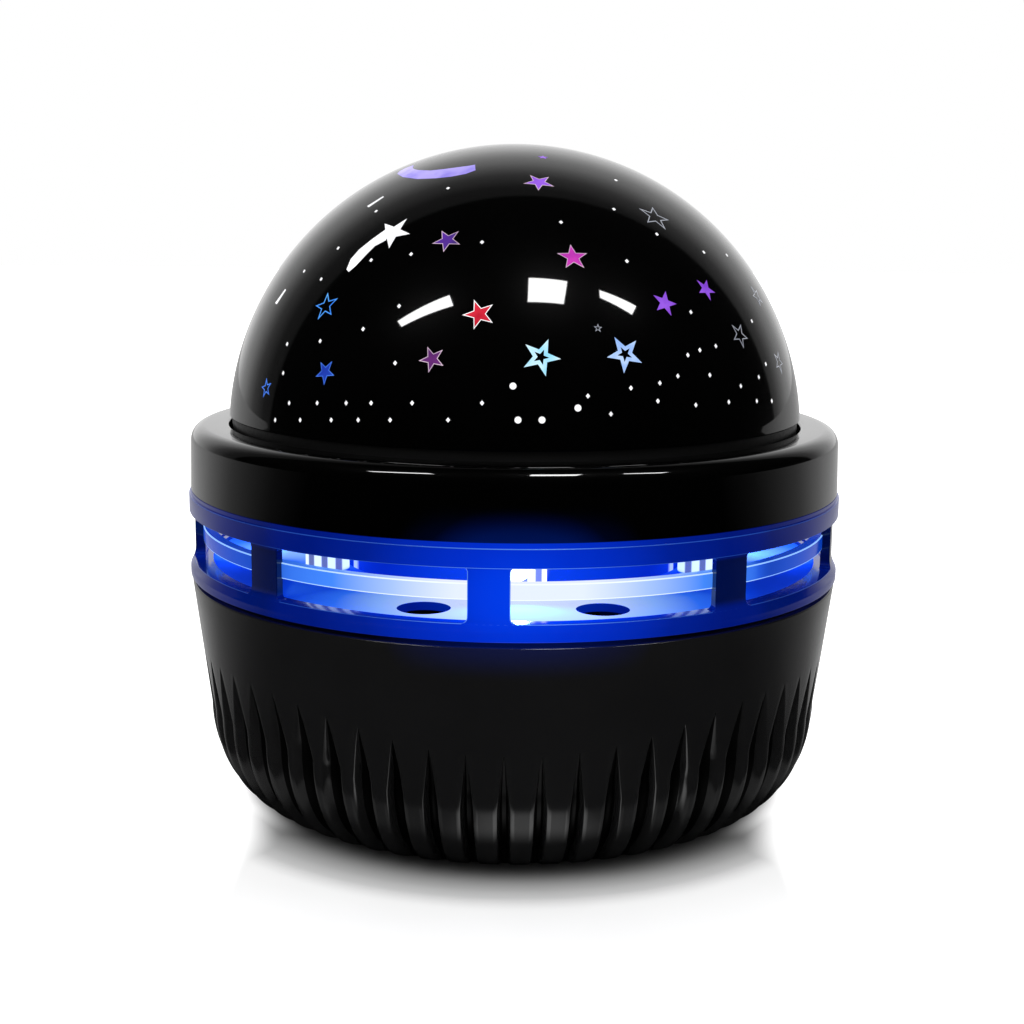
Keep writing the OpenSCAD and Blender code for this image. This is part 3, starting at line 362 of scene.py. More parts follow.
def blend_into(tree, shader, name, kind, other):
    """Multiplies or adds a colour or a level into what feeds an input."""
    tone = shader.inputs[name].links[0].from_socket
    feed(shader, {name: mixed(tree, kind, tone, other)})


def emission(tree, level):
    return new_node(tree, "Emission", {"Strength": level}).outputs[0]


def surfaced(name, dark, pale, grain, rough, bump, ior=PLASTIC_IOR, specular=0.5):
    """A material with a colour between two tones, a roughness between two levels and a fine bump."""
    material, tree, shader = new_material(name)
    bumps = new_node(tree, "Bump", {"Strength": bump, "Distance": 0.0001, "Height": noise(tree, grain)})
    feed(shader, {
        "Base Color": ramp(tree, noise(tree, MOTTLE_SCALE, 4.0), [(0.3, dark), (0.7, pale)]),
        "Roughness": map_range(tree, noise(tree, grain * 0.3), 0.3, 0.7, *rough),
        "Normal": bumps.outputs[0], "IOR": ior, "Specular IOR Level": specular,
    })
    return material, tree, shader


def plain(name, colour, rough, grain=3000.0, bump=0.08, metal=0.0, spread=0.12):
    """A moulded, pressed or printed finish of one colour with its own mottle, grain and wear."""
    dark = tuple(c * (1 - spread) for c in colour)
    pale = tuple(min(1.0, c * (1 + spread)) for c in colour)
    material, _, shader = surfaced(name, dark, pale, grain, (rough * 0.85, min(1.0, rough * 1.15)), bump)
    feed(shader, {"Metallic": metal})
    return material


def led_distance(tree):
    """Distance in metres from the nearest of the four side LEDs, which sets the painted LED light, and the
    height.

    What isn't near the front LED counts as 17 to 18 mm further away, because the photograph shows it dimmer.
    """
    turn = new_node(tree, "VectorRotate", {"Angle": -radians(SIDE_LED_TURN), "Vector": object_point(tree)})
    turn.rotation_type = "Z_AXIS"
    x, y, z = split_xyz(tree, turn.outputs[0])
    width = calc(tree, "ABSOLUTE", x)
    depth = calc(tree, "ABSOLUTE", y)
    near = calc(tree, "SUBTRACT", calc(tree, "MAXIMUM", width, depth), SIDE_LED_R * MM)
    side = calc(tree, "MINIMUM", width, depth)
    up = calc(tree, "SUBTRACT", z, SIDE_LED_Z * MM)
    behind = soft_range(tree, y, -0.04, -0.02, 0.0, 0.018)
    total = calc(tree, "ADD", root_of_squares(tree, near, side, up), behind)
    ahead = soft_range(tree, y, -0.018, -0.006, 0.017, 0.0)
    ends = soft_range(tree, width, 0.041, 0.046)
    return calc(tree, "ADD", total, calc(tree, "MULTIPLY", ahead, ends)), z


def glow(tree, shader, stops, strength, deck=False):
    """Painted light that plastic lets through, by distance from an LED. The deck has less in holes, as
    painted shade, and more on pillars.

    Returns the height and the distance.
    """
    distance, height = led_distance(tree)
    if deck:
        distance = calc(tree, "ADD", distance, map_range(tree, height, *IN_HOLES, 0.04, 0.0))
        distance = calc(tree, "SUBTRACT", distance, map_range(tree, height, *DECK_TOP, 0.0, 0.024))
    tone = ramp(tree, map_range(tree, distance, 0.0, GLOW_REACH), stops)
    feed(shader, {"Emission Color": tone, "Emission Strength": strength})
    return height, distance


def spill(tree, shader, stops, *heights):
    """A little painted blue light of the front LED on what stands next to the band, over a range of heights.
    """
    height, _ = glow(tree, shader, stops, 1.0)
    feed(shader, {"Emission Strength": soft_range(tree, height, *heights)})


def front_width(tree):
    """Distance in metres to the left or right of the middle, on the front half only."""
    x, y, _ = split_xyz(tree, object_point(tree))
    front = map_range(tree, y, -0.016, -0.01, 1.0, 0.0)
    return calc(tree, "MULTIPLY", calc(tree, "ABSOLUTE", x), front)


def painted_shadow_bands(tree, height):
    """Painted upright bands of shadow and light that the screw pillars and leads cast on what stands on the
    deck.
    """
    wave = calc(tree, "SINE", calc(tree, "MULTIPLY", front_width(tree), SHADOW_BAND_TURNS))
    dark = soft_range(tree, wave, -0.5, 0.2, 0.15, 1.0)
    flat = map_range(tree, height, *DECK_TOP, 1.0, 0.0)
    return calc(tree, "MAXIMUM", dark, flat)


# ---------------- materials
def gloss_black(name, coat_rough):
    """Near black plastic that shows little but the sharp mirror of its coat."""
    material, tree, shader = surfaced(name, (0.0002,) * 3, (0.0004,) * 3, 2500.0, (0.3, 0.36), 0.004, 1.07)
    feed(shader, {"Coat Weight": 1.0, "Coat Roughness": coat_rough})
    return material, tree, shader


def make_rim_black():
    """The rim's gloss black, with a little painted blue light from the front LED at its foot."""
    material, tree, shader = gloss_black("rim_gloss_black", 0.035)
    stops = [(0.0, (0.0, 0.01, 0.12)), (0.37, (0.0, 0.006, 0.075)), (0.41, (0, 0.001, 0.01)), (0.46, BLACK)]
    spill(tree, shader, stops, RIM_Z0 * MM, 0.069, 1.0, 0.0)
    return material


def make_bowl_black():
    """The bowl's matt black, with a little painted blue light from the front LED at its top."""
    dark = (0.0075, 0.0075, 0.0078)
    pale = (0.0095, 0.0095, 0.0098)
    material, tree, shader = surfaced("bowl_matt_black", dark, pale, 6000.0, (0.13, 0.18), 0.03, 1.45)
    stops = [(0.0, (0.0, 0.004, 0.08)), (0.32, (0.0, 0.003, 0.045)), (0.48, BLACK)]
    spill(tree, shader, stops, 0.0385, BASE_TOP_Z * MM)
    return material


# Blue plastic with the LEDs' light painted on as a glow, strongest near the front LED, on the flange and at
# the foot.
def make_band_blue():
    dark = (0.0, 0.004, 0.05)
    pale = (0.0, 0.006, 0.07)
    material, tree, shader = surfaced("band_translucent_blue", dark, pale, 1500.0, (0.1, 0.16), 0.01)
    stops = [
        (0.0, ICE), (0.3, (0.0, 0.055, 1.0)), (0.36, (0.0, 0.03, 0.7)),
        (0.5, (0.0, 0.012, 0.3)), (0.62, (0.0, 0.006, 0.18)), (1.0, (0.0, 0.004, 0.1)),
    ]
    height, distance = glow(tree, shader, stops, 0.8)
    low = soft_range(tree, height, 0.0487, 0.0505, 0.8, 0.06)
    high = soft_range(tree, height, 0.0573, 0.0583, 0.0, 0.74)
    near = soft_range(tree, distance, 0.019, 0.027, 0.8, 0.0)
    level = calc(tree, "MAXIMUM", calc(tree, "ADD", low, high), near)
    feed(shader, {"Emission Strength": level})
    return material


def glowing(name, tones, rough, bump, stops, strength, ior=PLASTIC_IOR, specular=0.5):
    """Plastic of the band that the LEDs light from inside, as a painted glow."""
    material, tree, shader = surfaced(name, *tones, 1500.0, rough, bump, ior, specular)
    glow(tree, shader, stops, strength)
    return material


def white_plastic(name, dark, pale):
    return surfaced(name, dark, pale, 1800.0, (0.3, 0.4), 0.03, specular=0.0)


def make_drum_painted_blue():
    """The white drum behind the LEDs, which only the blue bounce lights, painted on as a blue base colour and
    a glow.
    """
    material, tree, shader = white_plastic("white_plastic_drum", (0.005, 0.03, 0.35), (0.01, 0.045, 0.42))
    stops = [(0.0, WHITE), (0.2, (0.7, 0.85, 1.0)), (0.27, (0.0, 0.05, 0.7)), (1.0, (0.0, 0.012, 0.45))]
    glow(tree, shader, stops, 0.7)
    # Bands of pale painted light across the drum's front, left and right of the middle.
    pale = ramp(tree, map_range(tree, front_width(tree), 0.03, 0.04), [
        (0.0, BLACK), (0.06, (0.6, 0.8, 1.0)), (0.18, (0.6, 0.8, 1.0)), (0.26, BLACK), (0.42, BLACK),
        (0.5, (0.5, 0.75, 1.0)), (0.9, (0.6, 0.8, 1.0)),
    ])
    blend_into(tree, shader, "Emission Color", "ADD", pale)
    return material


def make_lit_white():
    """White plastic inside the band, with the wash of the blue LEDs painted on: a blue base colour and a
    glow, with painted shadow bands and painted shade in the holes.
    """
    material, tree, shader = white_plastic("white_plastic_lit", (0.02, 0.1, 0.62), (0.03, 0.13, 0.7))
    stops = [
        (0.0, WHITE), (0.25, (0.75, 0.9, 1.0)), (0.42, (0.3, 0.55, 1.0)), (0.55, (0.03, 0.18, 0.9)),
        (0.7, (0.0, 0.04, 0.6)), (1.0, (0.0, 0.01, 0.3)),
    ]
    height, _ = glow(tree, shader, stops, 0.7, deck=True)
    high = map_range(tree, height, 0.048, 0.049, 0.7, 1.3)
    level = calc(tree, "MULTIPLY", high, painted_shadow_bands(tree, height))
    feed(shader, {"Emission Strength": level})
    # Painted shade: the base colour is much darker below 47.5 mm, down in the deck's holes.
    blend_into(tree, shader, "Base Color", "MULTIPLY", map_range(tree, height, 0.0474, 0.0476, 0.1, 1.0))
    return material


def lit(name, dark, light, grain, scale, stops, level):
    """A glossy surface that glows in tones that change across it; on the star prints the glow is painted
    light.
    """
    material, tree, shader = surfaced(name, dark, light, grain, (0.08, 0.14), 0.01)
    tone = ramp(tree, noise(tree, scale, 2.0), stops)
    feed(shader, {"Emission Color": tone, "Emission Strength": level})
    return material


def make_print(name, pale, deep, level):
    """Star print in its own colours, which glow as painted light let through, paler and deeper across a few
    mm.
    """
    dark = tuple(c * 0.25 for c in deep)
    light = tuple(c * 0.3 for c in pale)
    return lit(name, dark, light, 2500.0, 260.0, [(0.35, deep), (0.62, pale)], level)


def make_lens(name, colour, level):
    """The clear or tinted cap of an LED."""
    dark = tuple(c * 0.5 for c in colour)
    deep = tuple(c * 0.9 for c in colour)
    return lit(name, dark, colour, 1200.0, 500.0, [(0.3, deep), (0.7, colour)], level)


DOME_BLACK = gloss_black("dome_gloss_black", 0.03)[0]
RIM_BLACK = make_rim_black()
BOWL_BLACK = make_bowl_black()
# The bottoms of the flutes are a darker, duller copy of the bowl's black, as painted shade in the grooves;
# the round edges of the lands are a paler, glossier copy, as a painted highlight.
BOWL_GROOVE_SHADE = surfaced("bowl_groove_painted_shade", (0.0008,) * 3, (0.0016,) * 3, 6000.0, (0.3, 0.4), 0.03, 1.25)[0]
BOWL_EDGE_HIGHLIGHT = surfaced(
    "bowl_edge_painted_highlight", (0.008, 0.008, 0.0082), (0.011, 0.011, 0.0112), 3800.0, (0.1, 0.14), 0.02, 1.7
)[0]
BAND_BLUE = make_band_blue()
# The band's rounded edges and the rib's get paler painted highlight lines, and the band and rib glow with
# painted LED light.
BAND_HIGHLIGHT = glowing("band_edge_painted_highlight", ((0.008, 0.03, 0.16), (0.012, 0.04, 0.2)), (0.2, 0.28), 0.01, [
    (0.0, ICE), (0.32, (0.12, 0.35, 1.0)), (0.45, (0.01, 0.07, 0.42)), (1.0, (0.004, 0.02, 0.15)),
], 0.7, ior=1.3)
BAND_RIB = glowing("band_rib_lit", ((0.005, 0.04, 0.26), (0.01, 0.055, 0.32)), (0.15, 0.22), 0.02, [
    (0.0, WHITE), (0.32, (0.9, 0.97, 1.0)), (0.42, (0.45, 0.62, 1.0)), (0.55, (0.06, 0.25, 0.9)),
    (0.8, (0.01, 0.08, 0.6)), (1.0, (0.0, 0.03, 0.35)),
], 0.9, specular=0.15)
RIB_HIGHLIGHT = glowing("band_rib_painted_highlight", ((0.05, 0.12, 0.5), (0.07, 0.15, 0.55)), (0.15, 0.22), 0.02, [
    (0.0, WHITE), (0.4, (0.9, 0.97, 1.0)), (0.6, (0.4, 0.65, 1.0)), (1.0, (0.25, 0.5, 1.0)),
], 1.0)
LIT_WHITE = make_lit_white()
DRUM_PAINTED_BLUE = make_drum_painted_blue()


# ---------------- sky on the dome
def eye_turn():
    return Matrix.Rotation(radians(EYE_TILT), 3, "X") @ Matrix.Rotation(radians(EYE_ROLL), 3, "Z")


def dome_spot(x, y):
    """Direction from the dome's centre to the place that the photograph shows at a pixel."""
    ray = eye_turn() @ Vector(((x - PIXEL_CENTRE) / FOCAL_PIXELS, (PIXEL_CENTRE - y) / FOCAL_PIXELS, -1.0))
    ray.normalize()
    b = EYE_FROM_DOME.dot(ray)
    c = EYE_FROM_DOME.dot(EYE_FROM_DOME) - DOME_R ** 2
    root = sqrt(max(0.0, b * b - c))
    return (EYE_FROM_DOME + ray * (-b - root)).normalized()


def tangents(spot):
    """The directions right and up on the dome, as seen from outside."""
    right = Vector((0, 0, 1)).cross(spot)
    if right.length < 0.05:
        right = Vector((1, 0, 0))
    right.normalize()
    return right, spot.cross(right)


def seen_place(x, y):
    """The spot on the dome at a pixel, with the directions right and up on it as the camera sees them."""
    spot = dome_spot(x, y)
    right = eye_turn() @ Vector((1, 0, 0))
    right = (right - spot * right.dot(spot)).normalized()
    return spot, (right, spot.cross(right))


def star_outline(radius, turn, scale):
    """Ten sides of a five-pointed star as (right, up) in mm, turned clockwise, with each side split."""
    tips = []
    for k in range(10):
        a = radians(turn + 36 * k)
        length = radius * scale * (1.0 if k % 2 == 0 else STAR_INNER)
        tips.append((length * sin(a), length * cos(a)))
    points = []
    for k in range(10):
        a = tips[k]
        b = tips[(k + 1) % 10]
        for i in range(3):
            t = i / 3
            points.append((a[0] + (b[0] - a[0]) * t, a[1] + (b[1] - a[1]) * t))
    return points


def lifted(spot, axes, line, sink):
    """The (right, up) points of a line round a spot, at a depth under the dome's skin."""
    right, up = axes
    points = []
    for x, y in line:
        out = (spot * DOME_R + right * x + up * y).normalized() * (DOME_R - sink)
        points.append((out.x, out.y, out.z + DOME_Z))
    return points


class Print:
    """Thin plugs of one colour in the dome's skin."""

    def __init__(self):
        self.shape = Shape()

    def rings(self, spot, axes, outlines):
        """A closed plug whose skin runs through the outlines, from the inner to the outer."""
        skin = [lifted(spot, axes, line, PRINT_SINK) for line in outlines]
        root = [lifted(spot, axes, line, PRINT_ROOT) for line in (outlines[-1], outlines[0])]
        self.shape.tube(skin + root, wrap=True)

    def star(self, spot, axes, radius, turn, hollow):
        inner = max(hollow, 0.03)
        rows = 2 if hollow > 0.8 else 4
        scales = [inner + (1 - inner) * k / (rows - 1) for k in range(rows)]
        self.rings(spot, axes, [star_outline(radius, turn, s) for s in scales])

    def dot(self, spot, axes, radius, sides, squash=1.0):
        lines = []
        for reach in (radius * 0.05, radius * 0.6, radius):
            lines.append([(reach * sin(a), reach * squash * cos(a)) for a in turns(sides)])
        self.rings(spot, axes, lines)

    def strip(self, spot, axes, left, right):
        """A closed plug between two open lines of equal length."""
        middle = [((a[0] + b[0]) / 2, (a[1] + b[1]) / 2) for a, b in zip(left, right)]
        self.rings(spot, axes, [middle + middle[::-1], left + right[::-1]])

    def build(self, name, material):
        return self.shape.build(name, "dome", [material], sharp=50)


# Front stars: pixel x and y, radius in mm, turn, colour and how hollow the star is
FRONT_STARS = [
    (325.7, 306, 2.8, 5, "sky_blue", 0.8), (447, 240, 2.7, -23, "pink", 0.88),
    (447, 240, 2.35, -23, "plum_blue", 0.0), (479, 314, 2.9, -18, "white", 0.86),
    (479, 314, 2.45, -18, "red", 0.0), (432, 359, 2.4, -21, "pink", 0.84),
    (432, 359, 1.95, -21, "plum", 0.0), (325, 372, 2.3, -30, "blue", 0.84),
    (325, 372, 1.9, -30, "deep_blue", 0.0), (266, 388, 1.9, 0, "blue", 0.7),
    (539, 182, 2.9, -33, "pink", 0.88), (539, 182, 2.5, -33, "violet", 0.0),
    (543, 157, 1.0, 0, "violet", 0.0), (573, 257, 2.8, -8, "pink", 0.9),
    (573, 257, 2.5, -8, "magenta", 0.0), (598, 328, 0.8, 0, "silver", 0.6),
    (541, 357, 3.4, 22, "cyan", 0.42), (625, 354, 3.4, -33, "pale_blue", 0.42),
    (655, 217, 3.3, -4, "silver", 0.82), (665, 303, 2.5, 6, "violet", 0.0),
    (706, 289, 2.3, 10, "violet", 0.0), (757, 296, 2.3, 10, "silver", 0.8),
    (740, 335, 2.5, 12, "silver", 0.8), (779, 362, 2.3, 0, "silver", 0.8),
    (392.4, 232.6, 3.8, -28, "white", 0.0),
]
# Front dots: pixel x and y
FRONT_DOTS = [
    (275, 420), (300, 420), (331, 420), (358, 420), (390, 420), (448, 420), (289, 403), (317, 403),
    (346, 403), (371, 403), (412, 403), (482, 403), (611, 414), (588, 396), (631, 388), (658, 401),
    (696, 405), (729, 402), (757, 401), (772, 401), (660, 383), (678, 376), (688, 355), (700, 350),
    (716, 346), (710, 375), (741, 386), (759, 377), (766, 364), (691, 312), (752, 321), (704, 252),
    (727, 255), (627, 261), (561, 222), (614, 209), (616, 180), (657, 234), (448, 188), (376, 211),
    (338, 248), (304, 271), (321, 279), (371, 260), (411, 254), (482, 242), (399, 306), (363, 329),
    (320, 341), (287, 344), (283, 373), (395, 363),
]
FRONT_ROUND = [(513, 386), (578, 408), (518, 420), (542, 420)]
MOON = (437, 174)
MOON_OUTER = [
    (413.3, 165.2), (405.2, 168.2), (399.5, 171.2), (397.3, 173.6), (402.7, 176.9),
    (417.3, 178.8), (435.5, 178.1), (451.2, 176.4), (465.8, 173.6), (475.5, 170.0),
]
MOON_INNER = [
    (413.6, 165.6), (412.5, 167.0), (413.0, 168.3), (414.5, 169.2), (418.5, 170.0),
    (430.6, 170.4), (445.2, 168.8), (460.9, 166.7), (468.0, 165.8), (475.0, 164.6),
]
TAIL_TOP = [(386, 229), (371.2, 239.7), (359.1, 249.4), (350.6, 259.1), (346.4, 269.4)]
TAIL_LOW = [(386, 240), (374.8, 245.8), (365.2, 255.5), (355.5, 265.8), (348.6, 271.8)]
DASHES = [((367, 206), (383, 196)), ((275, 303), (285, 289))]


def front_sky(prints):
    for x, y, radius, turn, colour, hollow in FRONT_STARS:
        prints[colour].star(*seen_place(x, y), radius, turn, hollow)
    for place in FRONT_DOTS:
        prints["white"].dot(*seen_place(*place), DOT_R, 4, DOT_SQUASH)
    for place in FRONT_ROUND:
        prints["white"].dot(*seen_place(*place), ROUND_R, 12)


def on_tangent(spot, axes, x, y):
    """Where a pixel's place on the dome lies on the plane that touches it at spot."""
    place = dome_spot(x, y)
    place = place * DOME_R / place.dot(spot)
    return place.dot(axes[0]), place.dot(axes[1])


def finer(line):
    """A line through the same points with short straight parts."""
    points = []
    parts = 4
    for a, b in zip(line, line[1:]):
        points += [(a[0] + (b[0] - a[0]) * k / parts, a[1] + (b[1] - a[1]) * k / parts) for k in range(parts)]
    return points + [line[-1]]


def front_strip(plug, centre, first, second):
    spot, axes = seen_place(*centre)
    lines = [[on_tangent(spot, axes, *point) for point in finer(line)] for line in (first, second)]
    plug.strip(spot, axes, *lines)


def front_lines(prints):
    """The moon, the tail of the shooting star and the two short dashes."""
    front_strip(prints["lavender"], MOON, MOON_OUTER, MOON_INNER)
    front_strip(prints["white"], TAIL_TOP[2], TAIL_TOP, TAIL_LOW)
    for (x0, y0), (x1, y1) in DASHES:
        middle = ((x0 + x1) / 2, (y0 + y1) / 2)
        other = [(x0 + 1.5, y0 + 1.2), (x1 + 0.8, y1 + 0.8)]
        front_strip(prints["white"], middle, [(x0, y0), (x1, y1)], other)


def free_spots(seed, count, gap, taken, low, high):
    """Even random places on the sides and back of the dome, clear of what is there."""
    pick = random.Random(seed)
    spots = []
    tries = 0
    while len(spots) < count and tries < 4000:
        tries += 1
        z = pick.uniform(sin(radians(low)), sin(radians(high)))
        a = pick.uniform(-pi, pi)
        flat = sqrt(1 - z * z)
        spot = Vector((flat * cos(a), flat * sin(a), z))
        if spot.dot(EYE_FROM_DOME.normalized()) > 0.1:
            continue
        if all(spot.angle(other) > radians(gap) for other in spots + taken):
            spots.append(spot)
    return spots


def back_sky(prints):
    """The same kinds of star and dot round the sides that the photograph doesn't show."""
    pick = random.Random(11)
    front = [dome_spot(x, y) for x, y, *_ in FRONT_STARS] + [dome_spot(*MOON)]
    kinds = [("pale_blue", 0.8), ("violet", 0.0), ("silver", 0.82), ("magenta", 0.0), ("cyan", 0.42),
             ("blue", 0.8), ("red", 0.0), ("violet", 0.8), ("pink", 0.84), ("pale_blue", 0.42)]
    stars = free_spots(5, 26, 12.0, front, 10, 84)
    for k, spot in enumerate(stars):
        colour, hollow = kinds[k % len(kinds)]
        radius = 3.3 if hollow == 0.42 else pick.uniform(2.0, 2.9)
        prints[colour].star(spot, tangents(spot), radius, pick.uniform(-36, 36), hollow)
    dots = free_spots(8, 80, 6.5, front + stars, 8, 86)
    for spot in dots:
        prints["white"].dot(spot, tangents(spot), DOT_R, 4, DOT_SQUASH)


def build_sky():
    # Each print: its pale and deep colour and the strength of its painted glow.
    looks = {
        "white": ((0.98, 0.98, 1.0), (0.8, 0.8, 0.82), 1.0),
        "pale_blue": ((0.55, 0.72, 1.0), (0.2, 0.4, 0.9), 0.85),
        "sky_blue": ((0.12, 0.45, 1.0), (0.03, 0.2, 0.9), 0.85),
        "blue": ((0.08, 0.25, 0.95), (0.03, 0.1, 0.6), 0.8),
        "deep_blue": ((0.02, 0.06, 0.5), (0.01, 0.03, 0.3), 0.8),
        "cyan": ((0.85, 0.97, 1.0), (0.25, 0.7, 0.95), 0.9),
        "violet": ((0.35, 0.12, 0.85), (0.2, 0.05, 0.6), 0.8),
        "magenta": ((0.65, 0.05, 0.5), (0.4, 0.03, 0.4), 0.8),
        "pink": ((0.8, 0.6, 0.75), (0.5, 0.35, 0.5), 0.8),
        "plum_blue": ((0.12, 0.03, 0.4), (0.05, 0.03, 0.14), 0.8),
        "plum": ((0.16, 0.03, 0.2), (0.1, 0.02, 0.14), 0.8),
        "red": ((0.8, 0.03, 0.06), (0.5, 0.01, 0.03), 0.85),
        "silver": ((0.5, 0.52, 0.58), (0.28, 0.3, 0.36), 0.7),
        "lavender": ((0.4, 0.33, 0.85), (0.22, 0.17, 0.75), 0.85),
    }
    prints = {name: Print() for name in looks}
    front_sky(prints)
    front_lines(prints)
    back_sky(prints)
    for name, (pale, deep, level) in looks.items():
        prints[name].build("sky_" + name, make_print("print_" + name, pale, deep, level))


def dome_arc(radius, first, last):
    """Profile points on a sphere about the dome's centre, from one rise in radians to another."""
    points = []
    for k in range(DOME_STEPS + 1):
        a = first + (last - first) * k / DOME_STEPS
        points.append((radius * cos(a), DOME_Z + radius * sin(a), 0))
    return points


def build_dome():
    """The dome shell, from its cut edge to its top, inside and out."""
    start = asin((DOME_EDGE_Z - DOME_Z) / DOME_R)
    start_in = asin((DOME_EDGE_Z - DOME_Z) / DOME_IN_R)
    outer = dome_arc(DOME_R - DOME_SINK, start, DOME_TOP_RISE)
    inner = dome_arc(DOME_IN_R, DOME_TOP_RISE, start_in)
    lip = [(outer[0][0] - 0.25, DOME_EDGE_Z, 0)]
    outer[0] = (outer[0][0], DOME_EDGE_Z + 0.25, 0)
    shape = Shape()
    shape.lathe(lip + outer + inner)
    dome = shape.build("dome_shell", "dome", [DOME_BLACK])
    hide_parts("star_dome")


# ---------------- rim and band
def build_rim():
    """The glossy rim housing with its shelf, fillet and floor."""
    shape = Shape()
    top_r = RIM_R - 0.3
    shelf_in_z = SHELF_Z - SHELF_WALL
    shape.lathe(rounded([
        (RIM_IN_R, RIM_Z0), (RIM_R, RIM_Z0, 0.25, 0), (top_r, SHELF_Z, RIM_FILLET, 0),
        (SHELF_R, SHELF_Z, 0.35, 0), (SHELF_R, shelf_in_z), (RIM_IN_R, shelf_in_z, 0.8, 0),
        (RIM_IN_R, RIM_FLOOR_Z), (RIM_HOLE_R, RIM_FLOOR_Z), (RIM_HOLE_R, RIM_FLOOR_Z0),
        (RIM_IN_R, RIM_FLOOR_Z0),
    ], 14))
    rim = shape.build("rim_housing", "body", [RIM_BLACK])
    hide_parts("upper_rim")


def band_wall_r(z):
    """Outer radius of the band's wall, which flares towards its foot."""
    t = (z - BAND_FOOT_Z) / 3.5
    return BAND_R + (1 - min(1.0, max(0.0, t))) ** 2


def half_angle(radius, extra):
    return radians(180 / WINDOW_COUNT) - asin((WINDOW_HALF - extra) / radius)


def post_loop(z, turn, extra):
    """Section of one post: outer face, side bevels and inner face."""
    outer = band_wall_r(z)
    inner = BAND_IN_R - 0.1
    wide = half_angle(outer, extra)
    thin = half_angle(inner, extra)
    edge = BAND_EDGE_R / outer
    line = [(turn - (wide - edge) + 2 * (wide - edge) * k / 8, outer) for k in range(9)]
    line.append((turn + wide, outer - BAND_EDGE_R))
    line += [(turn + thin, inner), (turn, inner), (turn - thin, inner)]
    line.append((turn - wide, outer - BAND_EDGE_R))
    return [polar(r, a, z) for a, r in line]


def corner_extra(depth):
    """How much a window's round corner narrows the window at a depth from its sill or top."""
    gap = WINDOW_CORNER - min(WINDOW_CORNER, max(0.0, depth))
    return WINDOW_CORNER - sqrt(WINDOW_CORNER ** 2 - gap ** 2)


def build_posts(shape):
    levels = [SILL_Z - BAND_EDGE_R] + [SILL_Z + WINDOW_CORNER * k / 6 for k in range(7)]
    levels += [SILL_Z + 1.4 + 0.35 * k for k in range(3)] + [54.0]
    levels += [WINDOW_TOP_Z - WINDOW_CORNER * (6 - k) / 6 for k in range(7)] + [WINDOW_TOP_Z + 0.2]
    for i in range(WINDOW_COUNT):
        # The first post's side bevels take slot 1, the painted highlight.
        edge = 1 if i == 0 else 0
        slots = [0] * 8 + [edge, 0, 0, 0, 0, edge]
        turn = radians(270 - POST_TURN + 360 * i / WINDOW_COUNT)
        loops = []
        for z in levels:
            extra = max(corner_extra(z - SILL_Z), corner_extra(WINDOW_TOP_Z - z))
            loops.append(post_loop(z, turn, extra))
        shape.tube(loops, slots, caps=True)


def build_band():
    """The translucent band: foot with sill and ledge, flange with neck and spigot, rib and posts."""
    shape = Shape()
    # Slot 1 marks the rounded edges that take the painted highlight; the rib's rounded edges take slot 3, its
    # own painted highlight.
    flare = [(band_wall_r(BAND_FOOT_Z + 0.25 * k), BAND_FOOT_Z + 0.25 * k) for k in range(1, 6)]
    foot = [(BAND_IN_R, BAND_Z0), (BODY_R, BAND_Z0, 0.25, 0), (BODY_R, BAND_FOOT_Z)]
    sill = [
        (band_wall_r(SILL_Z), SILL_Z, BAND_EDGE_R, 1), (BAND_IN_R, SILL_Z), (BAND_IN_R, LEDGE_Z),
        (LEDGE_R, LEDGE_Z), (LEDGE_R, LEDGE_Z0), (BAND_IN_R, LEDGE_Z0),
    ]
    shape.lathe(rounded(foot + flare + sill))
    shape.lathe(rounded([
        (BAND_IN_R, WINDOW_TOP_Z), (BODY_R, WINDOW_TOP_Z, 0.12, 1), (BODY_R, FLANGE_Z, BAND_EDGE_R, 1),
        (RIM_R, FLANGE_Z), (RIM_R, RIM_Z0), (BAND_IN_R, RIM_Z0), (BAND_IN_R, SPIGOT_Z),
        (SPIGOT_R, SPIGOT_Z), (SPIGOT_R, 60.6), (BAND_IN_R, 59.4),
    ]))
    rib = rounded([(RIB_IN_R, RIB_Z0), (RIB_R, RIB_Z0, 0.2, 1), (RIB_R, RIB_Z, 0.2, 1), (RIB_IN_R, RIB_Z)])
    shape.lathe([(r, z, 3 if slot else 2) for r, z, slot in rib])
    build_posts(shape)
    band = shape.build("band", "body", [BAND_BLUE, BAND_HIGHLIGHT, BAND_RIB, RIB_HIGHLIGHT])
    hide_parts("light_band")


# ---------------- bowl
def wall_r(z):
    """Outer radius of the bowl at a height."""
    if z >= SHOULDER_Z:
        return SHOULDER_R + (BASE_TOP_R - SHOULDER_R) * (z - SHOULDER_Z) / (BASE_TOP_Z - SHOULDER_Z)
    drop = min(1.0, (SHOULDER_Z - z) / CORNER_H)
    return FLAT_R + CORNER_W * sqrt(max(0.0, 1 - drop * drop))


def flute_wave(a):
    """0 at the front and back, 1 at the sides, where the flutes reach higher and are wider."""
    from_middle = abs(degrees(a) % 180 - 90)
    return smooth((from_middle - 4) / 44)


def split_z(a):
    """Height at which the fluted foot meets the plain wall above it."""
    return FLUTE_LOW_Z + 0.1 + FLUTE_WAVE * flute_wave(a)


def flute_size(a, z):
    """Half the width and the depth of the flute at an angle: pointed at its tip, shallow at the foot."""
    down = max(0.0, split_z(a) - 0.1 - z)
    half = (FLUTE_HALF + FLUTE_SIDE_HALF * flute_wave(a)) * min(1.0, down / 10.0) ** 0.8
    fall = FLUTE_FALL * min(1.0, down / 8.0) ** 0.8 * smooth((z - BASE_Z0) / 1.6)
    return max(0.12, half), fall


